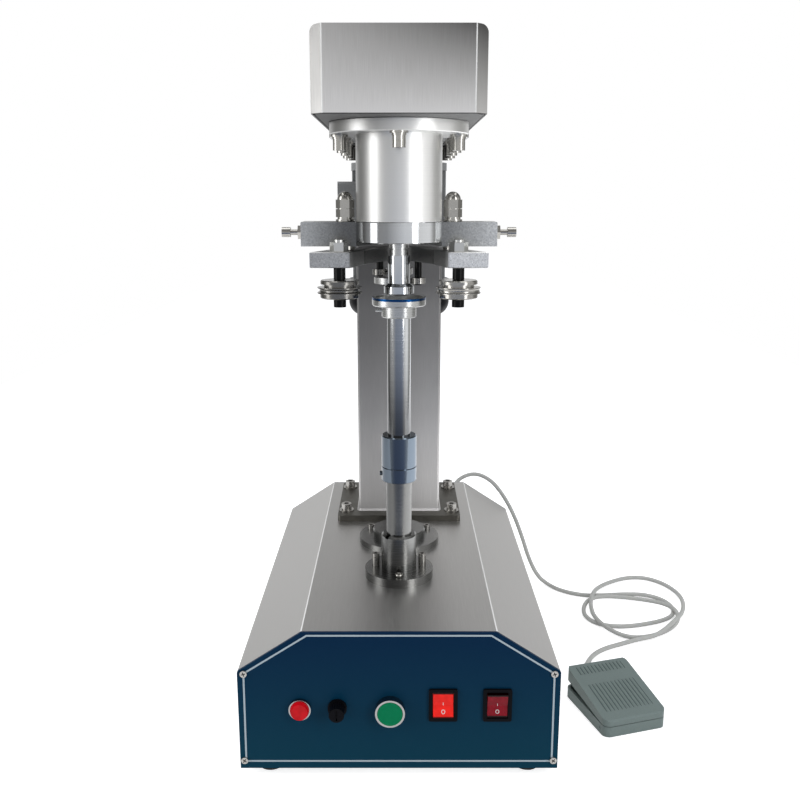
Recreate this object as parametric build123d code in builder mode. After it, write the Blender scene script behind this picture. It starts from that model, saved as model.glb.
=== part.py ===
from build123d import *
from math import cos, pi, radians, sin, sqrt, tan
import os

# Desktop can seamer: the can turns between a driven chuck and a free tray, and two rollers close its lid.
# Millimetres, +Z up, +Y to the rear. The origin is on the bench, at the middle of the machine and its pedal.
# Places are given from the seaming axis, the upright line through the chuck and the tray.

os.makedirs("parts", exist_ok=True)

# Fits and gaps
running_fit = 0.05
part_gap = 0.3
seat_gap = 0.02

# Base
foot_height = 10.0
foot_diameter = 29.0
foot_side_inset = 28.0
foot_end_inset = 24.0
base_width = 320.0
base_length = 475.2
base_height = 149.0
shoulder_height = 107.0
deck_width = 192.0
base_sheet = 2.0
fold_radius = 3.0
panel_thickness = 3.0
floor_thickness = 3.0
panel_to_axis = 139.5

# Column and head plate
column_width = 106.0
column_depth = 98.0
column_wall = 4.0
weld_leg = 2.5
column_length = 479.5
column_front = 190.0
column_foot_width = 160.0
column_foot_depth = 139.0
column_foot_thickness = 8.0
column_foot_overlap = 20.5
head_plate_thickness = 12.0
hanging_plate_thickness = 12.0
column_cap_width = 144.0
column_cap_depth = 114.0
column_cap_bolt_reach = 34.0
column_cap_bolt_clear = 9.6

# Head cover
cover_width = 160.6
cover_behind_motor = 90.0
cover_height = 76.2
cover_sheet = 1.5
cover_front = 100.0
cover_corner = 11.3
cover_bend = 6.5
cover_drop = 0.5

# Spindle housing
flange_diameter = 140.0
flange_thickness = 12.2
flange_bolt_circle = 121.0
housing_diameter = 88.0
housing_length = 85.3
housing_ring_diameter = 89.0
housing_ring_length = 21.3
bearing_bore = 52.0
bearing_width = 15.0
spindle_diameter = 25.0
neck_diameter = 19.7
neck_length = 13.5
nose_diameter = 22.8
nose_length = 28.8
chuck_cone = 3.1
chuck_diameter = 31.5
chuck_length = 7.1

# Can lift
can_gap = 4.2
tray_diameter = 56.5
tray_thickness = 8.7
collar_diameter = 36.5
collar_length = 12.0
rod_diameter = 25.0
rod_drop = 115.0
sleeve_diameter = 38.0
sleeve_length = 35.3
lock_ring_length = 15.7
tube_diameter = 28.0
tube_showing = 61.6
tube_end_thickness = 6.0
guide_flange_diameter = 76.0
guide_flange_thickness = 9.5
guide_diameter = 38.5
guide_height = 50.4
guide_spigot_diameter = 48.0
guide_spigot_length = 42.0
lift_rise = 3.0
lift_drop = 17.0
lift_cam_turn = 120.0
lift_cam_low_radius = 10.0
lift_cam_width = 12.0
lift_shaft_diameter = 12.0
lift_cam_floor_gap = 1.5

# Lift gearmotor and its cap on the deck
gear_axis = 106.0
cap_diameter = 97.0
cap_thickness = 7.0
boss_diameter = 64.0
boss_height = 9.0
gearbox_size = 70.0
gearbox_height = 62.0
gear_motor_diameter = 58.0

# Drive
motor_axis = 372.0
motor_diameter = 145.0
motor_length = 229.5
motor_wall = 6.0
motor_fin_diameter = 133.0
motor_skin_diameter = 122.0
motor_shield_diameter = 135.0
motor_neck_diameter = 112.0
motor_flange_diameter = 144.0
motor_bolt_circle = 130.0
motor_flange_thickness = 12.0
motor_shaft_diameter = 19.0
motor_fin_depth = 10.0
motor_fin_thickness = 2.2
terminal_reach = 13.0
terminal_width = 62.0
terminal_height = 54.0
rotor_air_gap = 14.0
fan_hub_radius = 22.0
fan_blade_length = 34.0
fan_height = 14.0
fan_cover_length = 45.0
fan_cover_lap = 7.0
fan_cover_wall = 2.0
spindle_pulley_diameter = 98.0
motor_pulley_diameter = 49.0
pulley_rim = 2.5
pulley_width = 20.0
belt_width = 15.0
belt_thickness = 3.0
pulley_lift = 10.0

# Seaming cams
cam_axis = 92.0
camshaft_diameter = 12.0
cam_width = 7.0
cam_spacing = 10.0
cam_housing_diameter = 36.0
cam_housing_bore = 28.0
cam_plate_width = 148.0
cam_plate_front = 44.0
cam_plate_rear = 148.0
cam_plate_bolt_x = 60.5
cam_plate_bolt_y = 57.0
cam_plate_rear_bolt_y = 128.0
cam_lift_turn = 90.0
second_cam_start = 110.0
cam_clearance = 0.4
follower_diameter = 16.0
follower_reach = 22.0
follower_pin_diameter = 6.0
cam_motor_diameter = 37.0
cam_motor_length = 50.0

# Side bars and pivots
bar_reach = 102.0
bar_depth = 38.0
bar_height = 25.0
bar_top_drop = 1.0
pivot_x = 56.6
pivot_y = 22.0
pivot_diameter = 12.0
slot_outer = 90.0
nut_across_corners = 19.6
nut_height = 8.4
pivot_washer_radius = 10.0
pivot_washer_thickness = 2.0
spring_washer_thickness = 2.2
acorn_hex_height = 9.0
acorn_dome_radius = 8.3
screw_diameter = 6.0
screw_head_diameter = 10.5
screw_head_length = 9.0
screw_showing = 12.5
lock_nut_width = 4.5
lock_nut_across_corners = 16.0

# Roller arms
arm_thickness = 16.0
arm_gap = 4.5
arm_front = 22.0
arm_inner = 50.0
arm_outer = 91.0
arm_swing = 12.0
roller_x = 61.5
roller_y = -8.0
roller_pin_diameter = 10.0
roller_spacer_diameter = 12.4
roller_drop = 12.9
roller_length = 18.9
roller_top_diameter = 40.0
roller_flange_diameter = 46.5
roller_foot_diameter = 40.5
roller_head_diameter = 13.0
roller_head_length = 8.0

# Front panel fittings, from the panel's bottom edge
lamp_x, lamp_z, lamp_diameter = -98.5, 67.0, 22.0
lamp_bore_radius = 9.8
fuse_x, fuse_z, fuse_diameter = -61.3, 68.0, 19.0
button_x, button_z, button_diameter = -8.9, 66.0, 29.5
button_bore_radius = 12.8
button_bezel_proud = 9.0
switch_z = 71.3
power_switch_x = 43.9
auto_switch_x = 97.8
switch_width = 28.5
switch_height = 35.0
switch_proud = 2.5
rocker_width = 20.0
rocker_height = 27.0
fuse_cap_length = 15.0

# Foot pedal
pedal_width = 76.0
pedal_length = 94.0
pedal_corner = 8.0
pedal_wall = 3.0
pedal_base_height = 12.0
pedal_turn = 16.8
pedal_left, pedal_front = 223.3, -73.5
treadle_front_height = 20.0
treadle_rear_height = 37.0
treadle_rear_gap = 10.0
pedal_hinge_inset = 11.0
pedal_hinge_height = 7.0
pedal_pin_diameter = 4.0

# Cord
cord_diameter = 5.8
coil_height = 12.0

# Heights, from the bench up and from the head down
base_bottom = foot_height
shoulder_z = base_bottom + shoulder_height
deck_z = base_bottom + base_height
head_plate_z = deck_z + column_foot_thickness + column_length
head_plate_top = head_plate_z + head_plate_thickness
flange_z = head_plate_z - flange_thickness
housing_z = flange_z - housing_length
ring_z = housing_z - housing_ring_length
nose_top = ring_z - neck_length
nose_z = nose_top - nose_length
cone_z = nose_z - chuck_cone
chuck_z = cone_z - chuck_length
tray_top = chuck_z - can_gap
tray_z = tray_top - tray_thickness
collar_top = tray_z - part_gap
collar_z = collar_top - collar_length
guide_top = deck_z + guide_height
lock_ring_z = guide_top + tube_showing
sleeve_z = lock_ring_z + lock_ring_length
sleeve_top = sleeve_z + sleeve_length
bar_top = housing_z - bar_top_drop
bar_z = bar_top - bar_height
arm_top = bar_z - arm_gap
arm_z = arm_top - arm_thickness
roller_top = arm_z - roller_drop
roller_z = roller_top - roller_length
pulley_z = head_plate_top + pulley_lift
cover_z = head_plate_z + cover_drop
panel_y = -panel_to_axis
base_rear = panel_y + base_length
motor_top = head_plate_z - motor_flange_thickness
motor_z = motor_top - motor_length

# The pedal's middle, and the place of the seaming axis from the part's origin
turn = radians(pedal_turn)
pedal_x = pedal_left + pedal_width / 2 * cos(turn) - pedal_length / 2 * sin(turn)
pedal_y = pedal_front + pedal_width / 2 * sin(turn) + pedal_length / 2 * cos(turn)
pedal_right = (
    pedal_x
    + (pedal_width / 2 - pedal_corner) * cos(turn)
    + (pedal_length / 2 - pedal_corner) * sin(turn)
    + pedal_corner
)
front_limit = panel_y - fuse_cap_length
rear_limit = motor_axis + cover_behind_motor
seam_x = (base_width / 2 - pedal_right) / 2
seam_y = -(front_limit + rear_limit) / 2


standing = (Align.CENTER, Align.CENTER, Align.MIN)


def level(height, x=0.0, y=0.0):
    """Level plane at a height above the bench, its origin at x, y from the seaming axis."""
    return Plane((seam_x + x, seam_y + y, height))


def facing_front(y, x=0.0, z=0.0):
    """Upright plane that faces the operator: its x runs to the right and its y runs up."""
    return Plane((seam_x + x, seam_y + y, z), x_dir=(1, 0, 0), z_dir=(0, -1, 0))


def facing_right(x, y=0.0, z=0.0):
    """Upright plane that faces +X: its x runs to the rear and its y runs up."""
    return Plane((seam_x + x, seam_y + y, z), x_dir=(0, 1, 0), z_dir=(1, 0, 0))


def upright(x=0.0, y=0.0):
    """Upright axis at x, y from the seaming axis."""
    return Axis((seam_x + x, seam_y + y, 0), (0, 0, 1))


def save(piece, label):
    """Name a finished piece and write its file."""
    piece.part.label = label
    export_step(piece.part, f"parts/{label}.step")


def post(plane, radius, length):
    """Cylinder that stands on a plane, for the part being built."""
    with Locations(plane):
        Cylinder(radius, length, align=(Align.CENTER, Align.CENTER, Align.MIN))


def drill(plane, radius, length):
    """Round hole cut from a plane, for the part being built."""
    with Locations(plane):
        Cylinder(radius, length, align=(Align.CENTER, Align.CENTER, Align.MIN), mode=Mode.SUBTRACT)


def hexagon(plane, across_corners, length, mode=Mode.ADD):
    """Hexagonal prism that stands on a plane, for the part being built."""
    with BuildSketch(plane) as section:
        RegularPolygon(across_corners / 2, 6)
    extrude(section.sketch, amount=length, mode=mode)


def turned(outline, x=0.0, y=0.0):
    """Piece turned about an upright axis from an outline of (radius, height) points."""
    with BuildPart() as piece:
        with BuildSketch(facing_front(y, x)):
            with BuildLine():
                Polyline(*outline, close=True)
            make_face()
        revolve(axis=upright(x, y))
    return piece


def socket_screw(plane, diameter, head_diameter, head_length, shank_length):
    """Socket head cap screw whose head stands on a plane and whose shank goes the other way."""
    post(plane, head_diameter / 2, head_length)
    hexagon(plane.offset(head_length / 2), diameter * 0.9, head_length / 2, mode=Mode.SUBTRACT)
    post(plane.offset(-shank_length), diameter / 2, shank_length)


# Base: a folded sheet housing, open in front, behind and below
def base_outline(inset):
    """Section of the base, seen from the front, taken in by an inset."""
    side = base_width / 2 - inset
    slope = (base_width - deck_width) / 2 / (base_height - shoulder_height)
    spread = sqrt(1 + slope * slope)
    top_z = deck_z - inset
    half_deck = deck_width / 2 - inset * (spread - slope)
    corner_z = shoulder_z - inset * (spread - 1) / slope
    return [
        (-side, base_bottom),
        (side, base_bottom),
        (side, corner_z),
        (half_deck, top_z),
        (-half_deck, top_z),
        (-side, corner_z),
    ]


def folded_section(inset, bend):
    """Section of the base for the sketch being drawn, with its four upper corners bent round a radius."""
    corners = base_outline(inset)
    around = corners[1:] + corners[:1]
    FilletPolyline(*around, radius=bend)
    Line(around[-1], around[0])


feet_places = [
    (side * (base_width / 2 - foot_side_inset), end)
    for side in (-1, 1)
    for end in (panel_y + foot_end_inset, base_rear - foot_end_inset)
]
column_middle = column_front + column_depth / 2
foot_bolt_x = (column_foot_width + column_width) / 4 + 3.0
foot_bolt_y = column_foot_depth / 2 - 21.0
foot_bolt_places = [
    (side * foot_bolt_x, column_middle + end * foot_bolt_y)
    for side in (-1, 1)
    for end in (-1, 1)
]
column_cap_bolt_spots = [
    (side * (column_width / 2 + column_cap_bolt_clear), column_middle + end * column_cap_bolt_reach)
    for side in (-1, 1)
    for end in (-1, 1)
]
cord_exit_x = 80.0
cord_exit_z = deck_z - 24.0
gland_radius = 7.0

with BuildPart() as base_housing:
    with BuildSketch(facing_front(base_rear - base_sheet)):
        with BuildLine():
            folded_section(0, fold_radius)
        make_face()
    extrude(amount=base_length - base_sheet - panel_thickness)
    with BuildSketch(facing_front(base_rear)):
        with BuildLine():
            folded_section(base_sheet, fold_radius - base_sheet)
        make_face()
    extrude(amount=base_length, mode=Mode.SUBTRACT)
    with BuildSketch(facing_front(base_rear)):
        with Locations((0, base_bottom + floor_thickness / 2)):
            Rectangle(base_width - 2 * base_sheet, floor_thickness)
    extrude(amount=base_length, mode=Mode.SUBTRACT)
    drill(level(deck_z - 2 * base_sheet), guide_spigot_diameter / 2 + seat_gap, 4 * base_sheet)
    drill(level(deck_z - 2 * base_sheet, 0, gear_axis), gear_motor_diameter / 2 + part_gap, 4 * base_sheet)

with BuildPart() as front_panel:
    with BuildSketch(facing_front(panel_y + panel_thickness)):
        with BuildLine():
            folded_section(0, fold_radius)
        make_face()
    extrude(amount=panel_thickness)
    drill(facing_front(panel_y + 9, lamp_x, base_bottom + lamp_z), lamp_bore_radius + seat_gap, 20)
    drill(facing_front(panel_y + 9, fuse_x, base_bottom + fuse_z), fuse_diameter / 2 - 2.5, 20)
    drill(facing_front(panel_y + 9, button_x, base_bottom + button_z), button_bore_radius + seat_gap, 20)
    for switch_x in (power_switch_x, auto_switch_x):
        with Locations(facing_front(panel_y, switch_x, base_bottom + switch_z)):
            Box(switch_width - 3, switch_height - 3, 20, mode=Mode.SUBTRACT)

with BuildPart() as back_panel:
    with BuildSketch(facing_front(base_rear)):
        with BuildLine():
            folded_section(0, fold_radius)
        make_face()
    extrude(amount=base_sheet)
    drill(facing_front(base_rear + 5, cord_exit_x, cord_exit_z), gland_radius - 1, 20)

with BuildPart() as base_floor:
    with BuildSketch(level(base_bottom, 0, (panel_y + base_rear + panel_thickness - base_sheet) / 2)):
        Rectangle(base_width - 2 * base_sheet - 2 * seat_gap, base_length - panel_thickness - base_sheet)
    extrude(amount=floor_thickness)
    for x, y in feet_places:
        drill(level(base_bottom - 1, x, y), 4 + seat_gap, 2 * floor_thickness)

with BuildPart() as rubber_feet:
    for x, y in feet_places:
        with BuildSketch(level(0, x, y)) as tread:
            Circle(foot_diameter / 2 - 1.5)
        extrude(tread.sketch, amount=foot_height, taper=-8)
        post(level(foot_height, x, y), 4, floor_thickness)

# Panel fittings
with BuildPart() as panel_bezels:
    for x, z, diameter, proud, bore in (
        (lamp_x, lamp_z, lamp_diameter, 4.0, lamp_bore_radius),
        (button_x, button_z, button_diameter, button_bezel_proud, button_bore_radius),
    ):
        front = facing_front(panel_y, x, base_bottom + z)
        post(front, diameter / 2, proud)
        post(front.offset(-12), bore, 12)
        drill(front.offset(-12), bore - 1.2, 12)
        drill(front, bore, proud)

lamp_plane = facing_front(panel_y, lamp_x, base_bottom + lamp_z)
with BuildPart() as lamp_lens:
    with BuildSketch(lamp_plane):
        Circle(lamp_bore_radius - part_gap)
    extrude(amount=4.0)
    with Locations(lamp_plane.offset(4.0)):
        Sphere(lamp_bore_radius - part_gap, arc_size1=0, align=standing)
    with BuildSketch(lamp_plane.offset(8.5)):
        Rectangle(24, 24)
    extrude(amount=12, mode=Mode.SUBTRACT)

fuse_plane = facing_front(panel_y, fuse_x, base_bottom + fuse_z)
with BuildPart() as fuse_holder:
    post(fuse_plane, fuse_diameter / 2, 3.0)
    post(fuse_plane.offset(-30), fuse_diameter / 2 - 2.6, 30)
    drill(fuse_plane.offset(-25), 5.5, 40)

with BuildPart() as fuse_cap:
    with BuildSketch(fuse_plane.offset(3 + seat_gap)):
        Circle(7.6)
        with PolarLocations(7.9, 18):
            Circle(0.55, mode=Mode.SUBTRACT)
    extrude(amount=fuse_cap_length - 3 - seat_gap)
    post(fuse_plane.offset(-18), 5.5 - running_fit, 21 + seat_gap)
    with Locations(fuse_plane.offset(fuse_cap_length)):
        Box(1.6, 11, 3, mode=Mode.SUBTRACT)

button_plane = facing_front(panel_y, button_x, base_bottom + button_z)
with BuildPart() as jog_button:
    post(button_plane.offset(-6), 10 - 0.1, button_bezel_proud + 4)
    post(button_plane.offset(button_bezel_proud - 2), button_bore_radius - part_gap, 3.2)
    fillet(jog_button.edges().sort_by(Axis.Y)[0], 0.8)


def switch_frame(x):
    """Rocker switch body and bezel behind and on the panel, for the part being built."""
    front = facing_front(panel_y, x, base_bottom + switch_z)
    with BuildSketch(front) as bezel:
        RectangleRounded(switch_width, switch_height, 2)
    extrude(bezel.sketch, amount=switch_proud)
    with BuildSketch(front.offset(-22)) as body:
        Rectangle(switch_width - 3.4, switch_height - 3.4)
    extrude(body.sketch, amount=22)
    with BuildSketch(front.offset(-9)) as well:
        Rectangle(rocker_width + 1.0, rocker_height + 1.4)
    extrude(well.sketch, amount=20, mode=Mode.SUBTRACT)


with BuildPart() as switch_frames:
    for switch_x in (power_switch_x, auto_switch_x):
        switch_frame(switch_x)

# Rockers: a shallow hollow seen from the side, tilted about an axis just behind the panel's face
rocker_pivot_depth = 1.0
rocker_tilt = 8.0


def rocker(x, tilt):
    """Rocker of a panel switch, resting tilted, its upper end pressed in when the tilt is positive."""
    centre = facing_right(x - rocker_width / 2, panel_y + rocker_pivot_depth, base_bottom + switch_z)
    leaning = Plane(centre.origin, x_dir=(0, cos(radians(tilt)), -sin(radians(tilt))), z_dir=centre.z_dir)
    half = rocker_height / 2
    with BuildPart() as piece:
        with BuildSketch(leaning):
            with BuildLine():
                Polyline(
                    (-2.2, 0), (-4.2, half), (-1.0, half), (3.5, half - 3.5),
                    (3.5, -half + 3.5), (-1.0, -half), (-4.2, -half), close=True,
                )
            make_face()
        extrude(amount=rocker_width)
    return piece


power_rocker = rocker(power_switch_x, rocker_tilt)
auto_rocker = rocker(auto_switch_x, -rocker_tilt)

# Column, welded to its foot plate, which is bolted to the deck
column_bore_width = column_width - 2 * column_wall
column_bore_depth = column_depth - 2 * column_wall

with BuildPart() as column_plate:
    with BuildSketch(level(deck_z, 0, column_front - column_foot_overlap + column_foot_depth / 2)):
        RectangleRounded(column_foot_width, column_foot_depth, 4)
    extrude(amount=column_foot_thickness)
    for x, y in foot_bolt_places:
        drill(level(deck_z - 1, x, y), 4.0 + seat_gap, column_foot_thickness + 2)

with BuildPart() as column:
    with BuildSketch(level(deck_z + column_foot_thickness, 0, column_middle)):
        RectangleRounded(column_width, column_depth, 3)
        RectangleRounded(column_bore_width, column_bore_depth, 2, mode=Mode.SUBTRACT)
    extrude(amount=column_length)
    with BuildSketch(level(head_plate_z - hanging_plate_thickness, 0, column_middle)):
        RectangleRounded(column_cap_width, column_cap_depth, 4)
    extrude(amount=hanging_plate_thickness)
    for x, y in column_cap_bolt_spots:
        drill(
            level(head_plate_z - hanging_plate_thickness - 1, x, y), 4 + seat_gap, hanging_plate_thickness + 2
        )
    with BuildSketch(level(deck_z + column_foot_thickness, 0, column_middle)):
        RectangleRounded(column_width + 2 * weld_leg, column_depth + 2 * weld_leg, 3 + weld_leg)
        RectangleRounded(column_bore_width, column_bore_depth, 2, mode=Mode.SUBTRACT)
    extrude(amount=weld_leg, taper=40)

# Stepped cap over the lift gearmotor, seated on the deck
cap_bolt_radius = (cap_diameter + boss_diameter) / 4
cap_bolt_spots = [
    (cap_bolt_radius * cos(radians(30 + 120 * k)), gear_axis + cap_bolt_radius * sin(radians(30 + 120 * k)))
    for k in range(3)
]
with BuildPart() as gearbox_cap:
    with BuildSketch(level(deck_z, 0, gear_axis)):
        Circle(cap_diameter / 2)
    extrude(amount=cap_thickness)
    with BuildSketch(level(deck_z + cap_thickness, 0, gear_axis)):
        Circle(boss_diameter / 2)
    extrude(amount=boss_height)
    chamfer(gearbox_cap.edges().group_by(Axis.Z)[-1], 1.5)
    drill(level(deck_z, 0, gear_axis), gear_motor_diameter / 2 - 6, cap_thickness + boss_height - 4)
    for x, y in cap_bolt_spots:
        drill(level(deck_z - 1, x, y), 2.5 + seat_gap, cap_thickness + 2)

guide_screw_reach = 26.0
guide_screw_y = 5.0
with BuildPart() as base_screws:
    for x, y in foot_bolt_places:
        post(level(deck_z + column_foot_thickness, x, y), 9.5, 1.6)
        socket_screw(level(deck_z + column_foot_thickness + 1.6, x, y), 8, 13, 8, column_foot_thickness + 1.6)
    for side in (-1, 1):
        socket_screw(
            level(deck_z + guide_flange_thickness, side * guide_screw_reach, guide_screw_y), 5, 8.5, 14, 9.5
        )
    for x, y in cap_bolt_spots:
        socket_screw(level(deck_z + cap_thickness, x, y), 5, 8.5, 5, cap_thickness)
    for side in (-1, 1):
        for x, z in ((base_width / 2 - 6.5, shoulder_height - 2), (base_width / 2 - 4.5, 9.2)):
            post(facing_front(panel_y, side * x, base_bottom + z), 3.5, 1.8)

# Lift guide with its spigot through the deck
with BuildPart() as lift_guide:
    with BuildSketch(facing_front(0)):
        with BuildLine():
            bore = tube_diameter / 2 + running_fit
            rim = guide_diameter / 2
            flange = guide_flange_diameter / 2
            spigot = guide_spigot_diameter / 2
            Polyline(
                (bore, deck_z - guide_spigot_length),
                (spigot, deck_z - guide_spigot_length),
                (spigot, deck_z),
                (flange, deck_z),
                (flange, deck_z + guide_flange_thickness),
                (rim, deck_z + guide_flange_thickness),
                (rim, guide_top - 2),
                (rim - 2, guide_top),
                (bore, guide_top),
                close=True,
            )
        make_face()
    revolve(axis=upright())
    for side in (-1, 1):
        screw_place = level(deck_z - 1, side * guide_screw_reach, guide_screw_y)
        drill(screw_place, 2.5 + seat_gap, guide_flange_thickness + 2)
    with Locations(level(guide_top)):
        with PolarLocations(0, 2, start_angle=45):
            Box(guide_diameter, 4.5, 6, mode=Mode.SUBTRACT)

# Lift cam: a flat-faced follower rises evenly on an involute of this radius
cam_rate = (lift_rise + lift_drop) / radians(lift_cam_turn)
lift_cam_top_radius = lift_cam_low_radius + lift_rise + lift_drop
lift_cam_z = base_bottom + floor_thickness + lift_cam_floor_gap + sqrt(lift_cam_top_radius**2 + cam_rate**2)
tube_z = lift_cam_z + lift_cam_low_radius + lift_drop + part_gap
tube_top = sleeve_z + sleeve_length * 0.4
rod_z = tube_z + tube_end_thickness + rod_drop + lift_rise
tray_stub_radius = 6.0
tray_stub_length = 22.0

lift_tube = turned(
    [
        (0, tube_z),
        (tube_diameter / 2, tube_z),
        (tube_diameter / 2, tube_top),
        (rod_diameter / 2 + running_fit, tube_top),
        (rod_diameter / 2 + running_fit, tube_z + tube_end_thickness),
        (0, tube_z + tube_end_thickness),
    ]
)
with BuildPart() as height_sleeve:
    with BuildSketch(facing_front(0)):
        with BuildLine():
            outer = sleeve_diameter / 2
            Polyline(
                (tube_diameter / 2 + seat_gap, sleeve_z + seat_gap),
                (outer - 0.6, sleeve_z + seat_gap),
                (outer, sleeve_z + 0.6),
                (outer, sleeve_top - 1.2),
                (outer - 1.2, sleeve_top),
                (rod_diameter / 2 + running_fit, sleeve_top),
                (rod_diameter / 2 + running_fit, tube_top + seat_gap),
                (tube_diameter / 2 + seat_gap, tube_top + seat_gap),
                close=True,
            )
        make_face()
    revolve(axis=upright())
    with BuildSketch(facing_front(0)):
        with BuildLine():
            Polyline(
                (tube_diameter / 2 + seat_gap, lock_ring_z),
                (outer - 0.6, lock_ring_z),
                (outer, lock_ring_z + 0.6),
                (outer, sleeve_z - 0.6),
                (outer - 0.6, sleeve_z),
                (tube_diameter / 2 + seat_gap, sleeve_z),
                close=True,
            )
        make_face()
    revolve(axis=upright())
    post(facing_right(-sleeve_diameter / 2 - 2.0, 0, lock_ring_z + 7.0), 2.5, 2.0)

centre_rod = turned(
    [
        (0, rod_z),
        (rod_diameter / 2 - 1, rod_z),
        (rod_diameter / 2, rod_z + 1),
        (rod_diameter / 2, collar_top - 1),
        (tray_stub_radius + running_fit, collar_top - 1),
        (tray_stub_radius + running_fit, collar_top - tray_stub_length),
        (0, collar_top - tray_stub_length),
    ]
)
with BuildPart() as tray_collar:
    with BuildSketch(level(collar_z)):
        Circle(collar_diameter / 2)
        Circle(rod_diameter / 2 + seat_gap, mode=Mode.SUBTRACT)
    extrude(amount=collar_length)
    chamfer(tray_collar.faces().filter_by(GeomType.PLANE).edges().group_by(SortBy.RADIUS)[-1], 0.8)
    post(facing_right(-collar_diameter / 2 - 6.5, 0, collar_z + 6.5), 2.0, 7.5)

tray_rim = 1.2
can_tray = turned(
    [
        (0, collar_top - tray_stub_length + 1),
        (tray_stub_radius, collar_top - tray_stub_length + 1),
        (tray_stub_radius, tray_z),
        (tray_diameter / 2 - 1, tray_z),
        (tray_diameter / 2, tray_z + 1),
        (tray_diameter / 2, tray_top),
        (tray_diameter / 2 - 2, tray_top),
        (tray_diameter / 2 - 2 - tray_rim, tray_top - tray_rim),
        (0, tray_top - tray_rim),
    ]
)


def lift_cam_point(angle):
    """Point of the lift cam's edge that is on top, under the flat follower, after a turn from rest."""
    support = lift_cam_low_radius + lift_drop + cam_rate * radians(angle)
    facing = Vector(sin(radians(angle)), cos(radians(angle)))
    along = Vector(cos(radians(angle)), -sin(radians(angle)))
    return facing * support + along * cam_rate


low_angle = -lift_cam_turn * lift_drop / (lift_rise + lift_drop)
high_angle = lift_cam_turn * lift_rise / (lift_rise + lift_drop)
cam_overrun = 6.0
gearbox_front = gear_axis - gearbox_size / 2
with BuildPart() as lift_cam:
    with BuildSketch(facing_front(lift_cam_width / 2, 0, lift_cam_z)):
        with BuildLine():
            steps = 9
            span = high_angle - low_angle + 2 * cam_overrun
            edge = [lift_cam_point(low_angle - cam_overrun + span * k / steps) for k in range(steps + 1)]
            Spline(*edge)
            ThreePointArc(edge[-1], Vector(0, -1).rotate(Axis.Z, 42) * lift_cam_low_radius * 1.3, edge[0])
        make_face()
        Circle(lift_cam_low_radius - 1)
    extrude(amount=lift_cam_width)
    post(facing_front(gearbox_front + 20, 0, lift_cam_z), lift_shaft_diameter / 2, gearbox_front + 32)

with BuildPart() as lift_gearmotor:
    with BuildSketch(level(base_bottom + floor_thickness, 0, gear_axis)):
        RectangleRounded(gearbox_size, gearbox_size, 6)
    extrude(amount=gearbox_height)
    post(level(base_bottom + floor_thickness + gearbox_height, 0, gear_axis), gear_motor_diameter / 2,
         deck_z - base_bottom - floor_thickness - gearbox_height - seat_gap)
    drill(facing_front(gearbox_front + 24, 0, lift_cam_z), lift_shaft_diameter / 2 + running_fit, 30)

# Head: plate on the column, cover over the belt drive
plate_front = -(cover_front - cover_sheet - seat_gap)
plate_rear = rear_limit - cover_sheet - seat_gap
plate_half = cover_width / 2 - cover_sheet - seat_gap
plate_corner = cover_corner - cover_sheet * tan(pi / 8)
flange_bolt_spots = [
    (flange_bolt_circle / 2 * cos(pi / 2 * k), flange_bolt_circle / 2 * sin(pi / 2 * k))
    for k in range(4)
]
motor_bolt_reach = motor_bolt_circle / 2 / sqrt(2)
motor_bolt_spots = [
    (sx * motor_bolt_reach, motor_axis + sy * motor_bolt_reach)
    for sx in (-1, 1)
    for sy in (-1, 1)
]
cam_plate_bolt_spots = [
    (side * cam_plate_bolt_x, y)
    for side in (-1, 1)
    for y in (cam_plate_bolt_y, cam_plate_rear_bolt_y)
]
spindle_hole = spindle_diameter / 2 + 4


def head_outline(half, front, rear, corner):
    """Plan of the head: square behind, with its two front corners cut off."""
    return [
        (half - corner, front),
        (half, front + corner),
        (half, rear),
        (-half, rear),
        (-half, front + corner),
        (-half + corner, front),
    ]


with BuildPart() as head_plate:
    with BuildSketch(level(head_plate_z)):
        with BuildLine():
            Polyline(*head_outline(plate_half, plate_front, plate_rear, plate_corner), close=True)
        make_face()
    extrude(amount=head_plate_thickness)
    drill(level(head_plate_z - 1), spindle_hole, head_plate_thickness + 2)
    drill(level(head_plate_z - 1, 0, motor_axis), motor_shaft_diameter / 2 + 6, head_plate_thickness + 2)
    drill(level(head_plate_z - 1, 0, cam_axis), camshaft_diameter / 2 + 3, head_plate_thickness + 2)
    for x, y in flange_bolt_spots + cam_plate_bolt_spots + column_cap_bolt_spots:
        drill(level(head_plate_z - 1, x, y), 4 + seat_gap, 9)
    for x, y in motor_bolt_spots:
        drill(level(head_plate_z - 1, x, y), 3 + seat_gap, 9)

with BuildPart() as head_cover:
    with BuildSketch(level(cover_z)):
        with BuildLine():
            Polyline(*head_outline(cover_width / 2, -cover_front, rear_limit, cover_corner), close=True)
        make_face()
    extrude(amount=cover_height)
    fillet(head_cover.edges().filter_by(Axis.Y).group_by(Axis.Z)[-1], cover_bend)
    offset(amount=-cover_sheet, openings=head_cover.faces().sort_by(Axis.Z)[0])

# Bearing housing under the plate: flange, bored cylinder and the ring that closes it
with BuildPart() as spindle_housing:
    with BuildSketch(facing_front(0)):
        with BuildLine():
            wall = housing_diameter / 2
            seat = bearing_bore / 2 + seat_gap
            shoulder = bearing_bore / 2 - 3
            Polyline(
                (seat, housing_z),
                (wall, housing_z),
                (wall, flange_z),
                (flange_diameter / 2, flange_z),
                (flange_diameter / 2, head_plate_z),
                (seat, head_plate_z),
                (seat, head_plate_z - bearing_width),
                (shoulder, head_plate_z - bearing_width),
                (shoulder, housing_z + bearing_width),
                (seat, housing_z + bearing_width),
                close=True,
            )
        make_face()
    revolve(axis=upright())
    for x, y in flange_bolt_spots:
        drill(level(flange_z - 1, x, y), 4 + seat_gap, flange_thickness + 2)
    chamfer(spindle_housing.edges().filter_by(GeomType.CIRCLE).group_by(SortBy.RADIUS)[-1], 0.8)

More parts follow.
